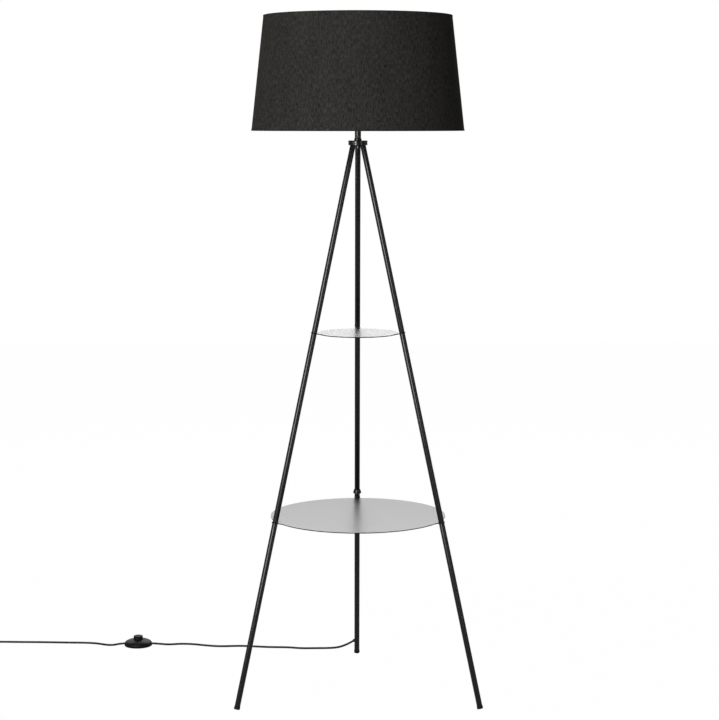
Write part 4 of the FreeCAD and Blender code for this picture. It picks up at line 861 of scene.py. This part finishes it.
def makeShade():
    s, base, top, out = Values(**shade), shadeBase, shadeTop, shadeRadius
    proud, cloth, gap, inset = s.proud, s.cloth, s.gap, s.wall + s.lip
    hemLow, hemHigh = base + s.hem, top - s.hem
    low, high = base + s.lipThickness, top - s.lipThickness
    between = [hemLow + (hemHigh - hemLow) * k / s.rows for k in range(1, s.rows)]
    profile = [
        (out(base) - inset, base), (out(base) + proud, base), (out(hemLow) + proud, hemLow),
        (out(hemLow), hemLow + s.step), *((out(z), z) for z in between),
        (out(hemHigh), hemHigh - s.step), (out(hemHigh) + proud, hemHigh),
        (out(top) + proud, top), (out(top) - inset, top), (out(top) - inset, high),
        (out(high) - cloth, high), (out(low) - cloth, low), (out(base) - inset, low)]
    piece = turnedPiece("shadeCloth", profile, blackCotton, "shade_cloth", ["shade_panel"],
                        soft=s.edge, steps=s.steps, sharp=50)
    clothMetres(piece, (s.bottomRadius + s.topRadius) / 2 * mm)
    lining = [(out(low) - cloth - gap, low + gap), (out(high) - cloth - gap, high - gap),
              (out(high) - s.wall, high - gap), (out(low) - s.wall, low + gap)]
    turnedPiece("shadeLining", lining, styreneLining, "shade_cloth", soft=gap, steps=s.steps)
    for label, node in (("Bottom", "shade_ring_bottom"), ("Top", "shade_ring_top")):
        circle = arc(*wireRing(node), 0, 360, 14)[:-1]
        makePiece(f"shadeRing{label}", turn(bmesh.new(), circle, 160), coatedWire,
                  "frame_wire", [node])
    return piece


def clothMetres(piece, radius):  # UV in metres: round the shade, and up it
    mesh = piece.data
    layer = mesh.uv_layers.new(name="clothMetres")
    for face in mesh.polygons:
        spots = [mesh.vertices[i].co for i in face.vertices]
        angles = [math.atan2(spot.y, spot.x) for spot in spots]
        wraps = max(angles) - min(angles) > math.pi
        for index, spot, angle in zip(face.loop_indices, spots, angles):
            if wraps and angle < 0:
                angle += fullTurn
            layer.data[index].uv = (angle * radius, spot.z)


def makeShadeLap():  # the cloth's glued overlap, at the back
    s, work, columns = Values(**shade), bmesh.new(), 8
    low, high = shadeBase + s.hem + s.lapShort, shadeTop - s.hem - s.lapShort
    half = math.degrees(s.lapWidth / 2 / s.bottomRadius)
    ways = arc(0, 0, 1, s.lapAzimuth - half, s.lapAzimuth + half, columns)
    rows = []
    for k in range(s.rows + 1):
        z = low + (high - low) * k / s.rows
        radii = [shadeRadius(z) + (s.lapProud if 0 < j < columns else s.lapEdge)
                 for j in range(columns + 1)]
        rows.append([work.verts.new(Vector((radius * x, radius * y, z)) * mm)
                     for radius, (x, y) in zip(radii, ways)])
    skin(work, rows, closed=False)
    bmesh.ops.solidify(work, geom=work.faces[:], thickness=s.lapThickness * mm)
    piece = makePiece("shadeLap", work, blackCotton, "shade_cloth", sharp=60)
    clothMetres(piece, s.bottomRadius * mm)


shadeCloth = makeShade()
makeShadeLap()
print("shade made")


# Fitter, lampholder and bulb.

fitter = dict(outer=34.0, inner=20.0, thickness=1.6, edge=0.25, wire=1.6, armStart=30.2,
              head=1.3, headRun=12.0, footRun=14.0, bend=2.24, into=0.2)


def makeFitter():
    f = Values(**fitter)
    low, high = nodeHeights("shade_spider")
    under, foot = high - f.thickness, low + f.wire
    work = turn(bmesh.new(), rounded(band(f.inner, f.outer, under, high), f.edge))
    start, end = f.armStart, wireRing("shade_ring_bottom")[0] + f.into
    corners = [Vector(spot) for spot in (
        (start, 0, under - f.head), (start + f.headRun, 0, under - f.head),
        (end - f.footRun, 0, foot), (end, 0, foot))]
    path = [corners[0], *softCorner(*corners[:3], f.bend, 6),
            *softCorner(*corners[1:], f.bend, 6), corners[3]]
    for azimuth in legAzimuths.values():
        swing = Matrix.Rotation(math.radians(azimuth), 3, "Z")
        sweep(work, [swing @ point for point in path], f.wire)
    makePiece("shadeFitter", work, coatedWire, "frame_wire", ["shade_spider"])


holder = dict(radius=19.6, wall=2.0, soft=0.5, foot=9.5, footHeight=3.0, floor=4.6,
              shoulder=15.0, ledge=15.8, pipeHole=5.1, boss=8.0, bossHeight=12.0, bore=14.5,
              flange=1.6, chamfer=1.0, clampRadius=27.0, clampBore=19.7, clampGap=1.7,
              clampEdge=0.4, ribs=60, ribRadius=0.45)


def makeHolder():
    h = Values(**holder)
    base, top = nodeHeights("lampholder_cap")
    pipe, outer, inner, boss = h.pipeHole, h.radius, h.radius - h.wall, h.boss
    cap = [(pipe, base), (h.foot, base), (h.foot, base + h.footHeight),
           (outer, base + h.shoulder), (outer, top), (inner, top),
           (inner, base + h.ledge), (boss, base + h.floor),
           (boss, base + h.bossHeight), (pipe, base + h.bossHeight)]
    turnedPiece("holderCap", cap, phenolic, "holder_black", ["lampholder_cap"], h.soft)
    low, high = nodeHeights("lampholder_shell")
    bore, rim, step = h.bore, outer + h.wall, low + h.flange
    shell = [(bore, low), (rim, low), (rim, step), (outer, step),
             (outer, high - h.chamfer), (outer - h.chamfer, high), (bore, high)]
    turnedPiece("holderShell", shell, phenolic, "holder_black", ["lampholder_shell"])
    bottom, crown = nodeHeights("shade_clamp_rings")
    tall, reach = (crown - bottom - h.clampGap) / 2, h.clampRadius - h.ribRadius
    starts = {"Lower": bottom, "Upper": crown - tall}
    work = bmesh.new()
    for start in starts.values():
        ring = band(h.clampBore, reach, start, start + tall)
        turn(work, rounded(ring, h.clampEdge), 120)
    makePiece("clampRings", work, phenolic, "holder_black", ["shade_clamp_rings"])
    for label, start in starts.items():
        treePiece(f"clampRibs{label}", ribTree, {
            "Ring Radius": reach * mm, "Height": (tall - 2 * h.clampEdge) * mm,
            "Rib Radius": h.ribRadius * mm, "Count": h.ribs}, phenolic,
            matrix=shift(0, 0, start + tall / 2))
    dressNode(insulatingPlastic, "lampholder_insulator")
    dressNode(stampedBrass, "lampholder_screw_shell", "lampholder_contact")


bulb = dict(globeRadius=30.0, base=71.0, neckRadius=15.4, neckEdge=1.3, skirt=3.62,
            flare=0.25, capTop=26.0, capRoot=12.0, crest=13.2, crimp=3.0, crimpStep=1.0,
            threadRadius=1.3, threadPitch=3.62, threadTurns=4.6, threadStart=0.6,
            eyelet=4.8, foot=1.6, globeSoft=0.1, soft=0.4)


def makeBulb():
    b = Values(**bulb)
    bottom, top = nodeHeights("bulb_eyelet")[0], nodeHeights("bulb_globe")[1]
    foot, capTop, rimZ = bottom + b.foot, bottom + b.capTop, bottom + b.base
    centre = top - b.globeRadius
    rimAngle = math.degrees(math.asin((rimZ - centre) / b.globeRadius))
    crownPoints = arc(0, centre, b.globeRadius, rimAngle, 90, 32)[:-1]
    globe = [(0, rimZ), *crownPoints, (0, top)]
    rim, neck, edge = crownPoints[0][0], b.neckRadius, b.neckEdge
    low, high = capTop + b.skirt, rimZ - b.skirt
    housing = [(0, capTop), (neck - edge, capTop), (neck, capTop + edge)]
    for k in range(17):  # a gentle flare from the neck to the globe
        t = k / 16
        widening = (1 - b.flare) * t + b.flare * t * t
        housing.append((neck + (rim - neck) * widening, low + (high - low) * t))
    housing += [(rim, rimZ), (0, rimZ)]
    root, crest, crimp = b.capRoot, b.crest, capTop - b.crimp
    cap = [(0, foot), (b.eyelet, foot), (root, foot + b.threadPitch),
           (root, crimp - b.crimpStep), (crest, crimp), (crest, capTop), (0, capTop)]
    for name, node, profile, material, slotName, soft in (
            ("bulbGlobe", "bulb_globe", globe, opalDiffuser, "bulb_opal", b.globeSoft),
            ("bulbHousing", "bulb_housing", housing, bulbHousing, "bulb_white", b.soft),
            ("bulbCap", "bulb_cap", cap, brightNickel, "bulb_metal", b.soft)):
        turnedPiece(name, profile, material, slotName, [node], soft, body="bulb")
    treePiece("bulbThread", helixTree, {
        "Turns": b.threadTurns, "Coil Radius": (crest - b.threadRadius) * mm,
        "Height": b.threadTurns * b.threadPitch * mm, "Wire Radius": b.threadRadius * mm},
        brightNickel, body="bulb",
        matrix=shift(0, 0, foot + b.threadPitch + b.threadStart))
    dressNode(stampedBrass, "bulb_eyelet")


makeFitter()
makeHolder()
makeBulb()
print("lampholder and bulb made")


# Foot switch.

footSwitch = dict(
    centre=(-533.9, 375.5), radius=33.5, bottom=1.2, edge=0.5, soft=0.15, rimHeight=5.0,
    rimRound=7.5, rimTurn=60.0, top=16.4, wall=2.2, hole=11.4, insideBend=(22.0, 12.88),
    insideJoin=(1.76, 1.98), port=2.7, portHeight=5.8, portReach=50.0,
    buttonRadius=11.1, buttonTop=25.0, buttonEdge=0.96, dishRim=2.2, dishSlope=1.0,
    dishDepth=0.4, dishCentre=0.5, flange=1.5, flangeHeight=1.3, flangeTop=13.6,
    plunger=2.0, plungerDrop=0.3, springBore=5.2, ceiling=18.6, springRadius=4.0,
    springWire=0.35, springTurns=5.0, block=6.4, springSlack=0.3, travel=4.0)
switchPlace = shift(*footSwitch["centre"], 0)


def makeSwitchHousing():
    w = Values(**footSwitch)
    rim = arc(w.radius - w.rimRound, w.rimHeight, w.rimRound, 0, w.rimTurn, 12)
    (joinX, joinZ), steep = rim[-1], math.radians(w.rimTurn)
    # The crown is an arc that goes on from the rim without a corner, up to the hole.
    run, rise = joinX - w.hole, w.top - joinZ
    crown = (run ** 2 + rise ** 2) / 2 / (run * math.cos(steep) - rise * math.sin(steep))
    crownX, crownZ = joinX - crown * math.cos(steep), joinZ - crown * math.sin(steep)
    holeAngle = math.degrees(math.atan2(w.top - crownZ, w.hole - crownX))
    inner, bottom, edge = w.radius - w.wall, w.bottom, w.edge
    profile = [(inner, bottom), (w.radius - edge, bottom), (w.radius, bottom + edge),
               *rim, *arc(crownX, crownZ, crown, w.rimTurn, holeAngle, 20)[1:],
               (w.hole, w.top - w.wall), w.insideBend,
               (joinX - w.insideJoin[0], joinZ - w.insideJoin[1]), (inner, w.rimHeight)]
    work = turn(bmesh.new(), rounded(profile, w.soft, 2), 128, switchPlace)
    housing = shapeObject("switchHousing", work, absMoulded)
    across = band(0, w.port, -w.portReach, w.portReach)
    cutter = turn(bmesh.new(), across, 32, switchPlace @ shift(0, 0, w.portHeight) @ alongX)
    bmesh.ops.recalc_face_normals(cutter, faces=cutter.faces)
    drill = newObject("portDrill", meshFrom(cutter, "portDrill"))
    ports = housing.modifiers.new("ports", "BOOLEAN")
    setAll(ports, operation="DIFFERENCE", object=drill, solver="EXACT")
    applyModifier(housing, ports)
    bpy.data.objects.remove(drill)
    housing.data.set_sharp_from_angle(angle=math.radians(40))
    settle(housing, "lamp", ["switch_housing"])


def makeSwitchButton():
    w = Values(**footSwitch)
    radius, flange, bore = w.buttonRadius, w.buttonRadius + w.flange, w.springBore
    bottom, step, top = w.flangeTop - w.flangeHeight, w.flangeTop, w.buttonTop
    dish, tip = radius - w.dishRim, bottom - w.plungerDrop
    profile = [(0, tip), (w.plunger, tip), (w.plunger, w.ceiling), (bore, w.ceiling),
               (bore, bottom), (flange, bottom), (flange, step), (radius, step),
               (radius, top), (dish, top),
               (dish - w.dishSlope, top - w.dishDepth), (0, top - w.dishCentre)]
    turnedPiece("switchButton", profile, buttonMoulded, "button_grey", ["switch_button"],
                body="foot_button", soft=w.buttonEdge, matrix=switchPlace)
    whole = w.ceiling - w.springSlack - w.block
    spring = treePiece("switchSpring", helixTree, {
        "Turns": w.springTurns, "Coil Radius": w.springRadius * mm,
        "Height": (whole - 2 * w.springWire) * mm, "Wire Radius": w.springWire * mm},
        springWire, ["switch_spring"],
        matrix=switchPlace @ shift(0, 0, w.block + w.springWire))
    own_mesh(spring)
    for material, node in ((absMoulded, "plate"), (insulatingPlastic, "block"),
                           (stampedBrass, "contacts"), (zincSteel, "screws"),
                           (footRubber, "pads")):
        dressNode(material, f"switch_{node}")


makeSwitchHousing()
makeSwitchButton()
print("foot switch made")


# Plug and tie.

plug = dict(
    relief=22.0, thick=5.2, thin=3.3, into=3.0, coneEdge=0.5,
    body=35.0, backHalf=8.0, midHalf=15.0, faceHalf=17.65, backHeight=11.0, height=13.7,
    shoulder=14.0, swellStart=1.6, backCorner=3.4, corner=4.2,
    backEdge=((0.0, 1.5, 2.8), (0.6, 0.4, 3.2)),  # how far from the end, how much less, corner
    faceEdge=((1.2, 0.0, 4.2), (0.4, 0.25, 4.2), (0.0, 1.0, 3.6)),
    pinRadius=2.0, pinLength=19.0, pinApart=18.6, pinEdge=0.9,
    ribs=6, ribRadius=0.7, ribSink=0.5, ribStart=18.5, ribRun=15.0, ribThin=0.74)
entryX, entryY = coilRoute()[-1][:2]
plugPlace = shift(entryX, entryY, plug["height"] / 2) @ halfTurn  # +X runs to the pins


def ovalRing(work, x, half, tall, corner, matrix, steps=11):  # square to X, round corners
    points = []
    for quarter, (side, up) in enumerate(((1, 1), (-1, 1), (-1, -1), (1, -1))):
        points += arc(side * (half - corner), up * (tall - corner), corner,
                      90 * quarter, 90 * quarter + 90, steps)
    return [work.verts.new(matrix @ (Vector((x, y, z)) * mm)) for y, z in points]


def makePlug():
    p, work = Values(**plug), bmesh.new()
    back, face = p.backHeight / 2, p.height / 2
    end = p.relief + p.body
    stages = [(p.relief + on, p.backHalf - less, back - less, corner)
              for on, less, corner in p.backEdge]
    for k in range(11):  # the body swells towards the hand grip, then runs to the face
        t = k / 10
        ease = t * t * (3 - 2 * t)
        stages.append((p.relief + p.swellStart + (p.shoulder - p.swellStart) * t,
                       p.backHalf + (p.midHalf - p.backHalf) * ease,
                       back + (face - back) * ease,
                       p.backCorner + (p.corner - p.backCorner) * ease))
    stages += [(end - on, p.faceHalf - less, face - less, corner)
               for on, less, corner in p.faceEdge]
    skin(work, [ovalRing(work, *stage, plugPlace) for stage in stages], ends=True)
    length = p.relief + p.into
    cone = [(0, 0), (p.thin, 0), (p.thick, length), (0, length)]
    turn(work, rounded(cone, p.coneEdge), 48, plugPlace @ alongX)
    makePiece("plugBody", work, cordSheath, "plug_black", ["plug_body"])
    treePiece("plugRibs", reliefTree, {
        "Length": p.ribRun * mm, "Thick Radius": (p.thick - p.ribSink) * mm,
        "Thin Share": p.ribThin, "Rib Radius": p.ribRadius * mm, "Count": p.ribs},
        cordSheath,
        matrix=plugPlace @ shift(p.ribStart, 0, 0) @ halfTurn)
    pins = bmesh.new()
    pin = rounded(band(0, p.pinRadius, 0, p.pinLength), p.pinEdge, 5)
    for side in (-0.5, 0.5):
        turn(pins, pin, 40, plugPlace @ shift(end, side * p.pinApart, 0) @ alongX)
    makePiece("plugPins", pins, brightNickel, "pin_nickel", ["plug_pins"])


tie = dict(corner=3.2, thickness=0.7, edgeWidth=0.25, edgeDepth=0.15)


def makeTie():
    work = bmesh.new()
    low, high = (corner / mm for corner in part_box("coil_tie"))
    half, place = (high - low) / 2, shift(*(low + high) / 2)
    reach = half.x - tie["edgeWidth"]
    outside = [(-half.x, tie["edgeDepth"]), (-reach, 0), (reach, 0), (half.x, tie["edgeDepth"])]
    inside = [(x, tie["thickness"] - inset) for x, inset in reversed(outside)]
    rings = [ovalRing(work, x, half.y - inset, half.z - inset, tie["corner"] - inset, place, 7)
             for x, inset in outside + inside]
    skin(work, rings + rings[:1])
    makePiece("coilTie", work, wovenStrap, "tie_black", ["coil_tie"])


makePlug()
makeTie()
print("plug and tie made")
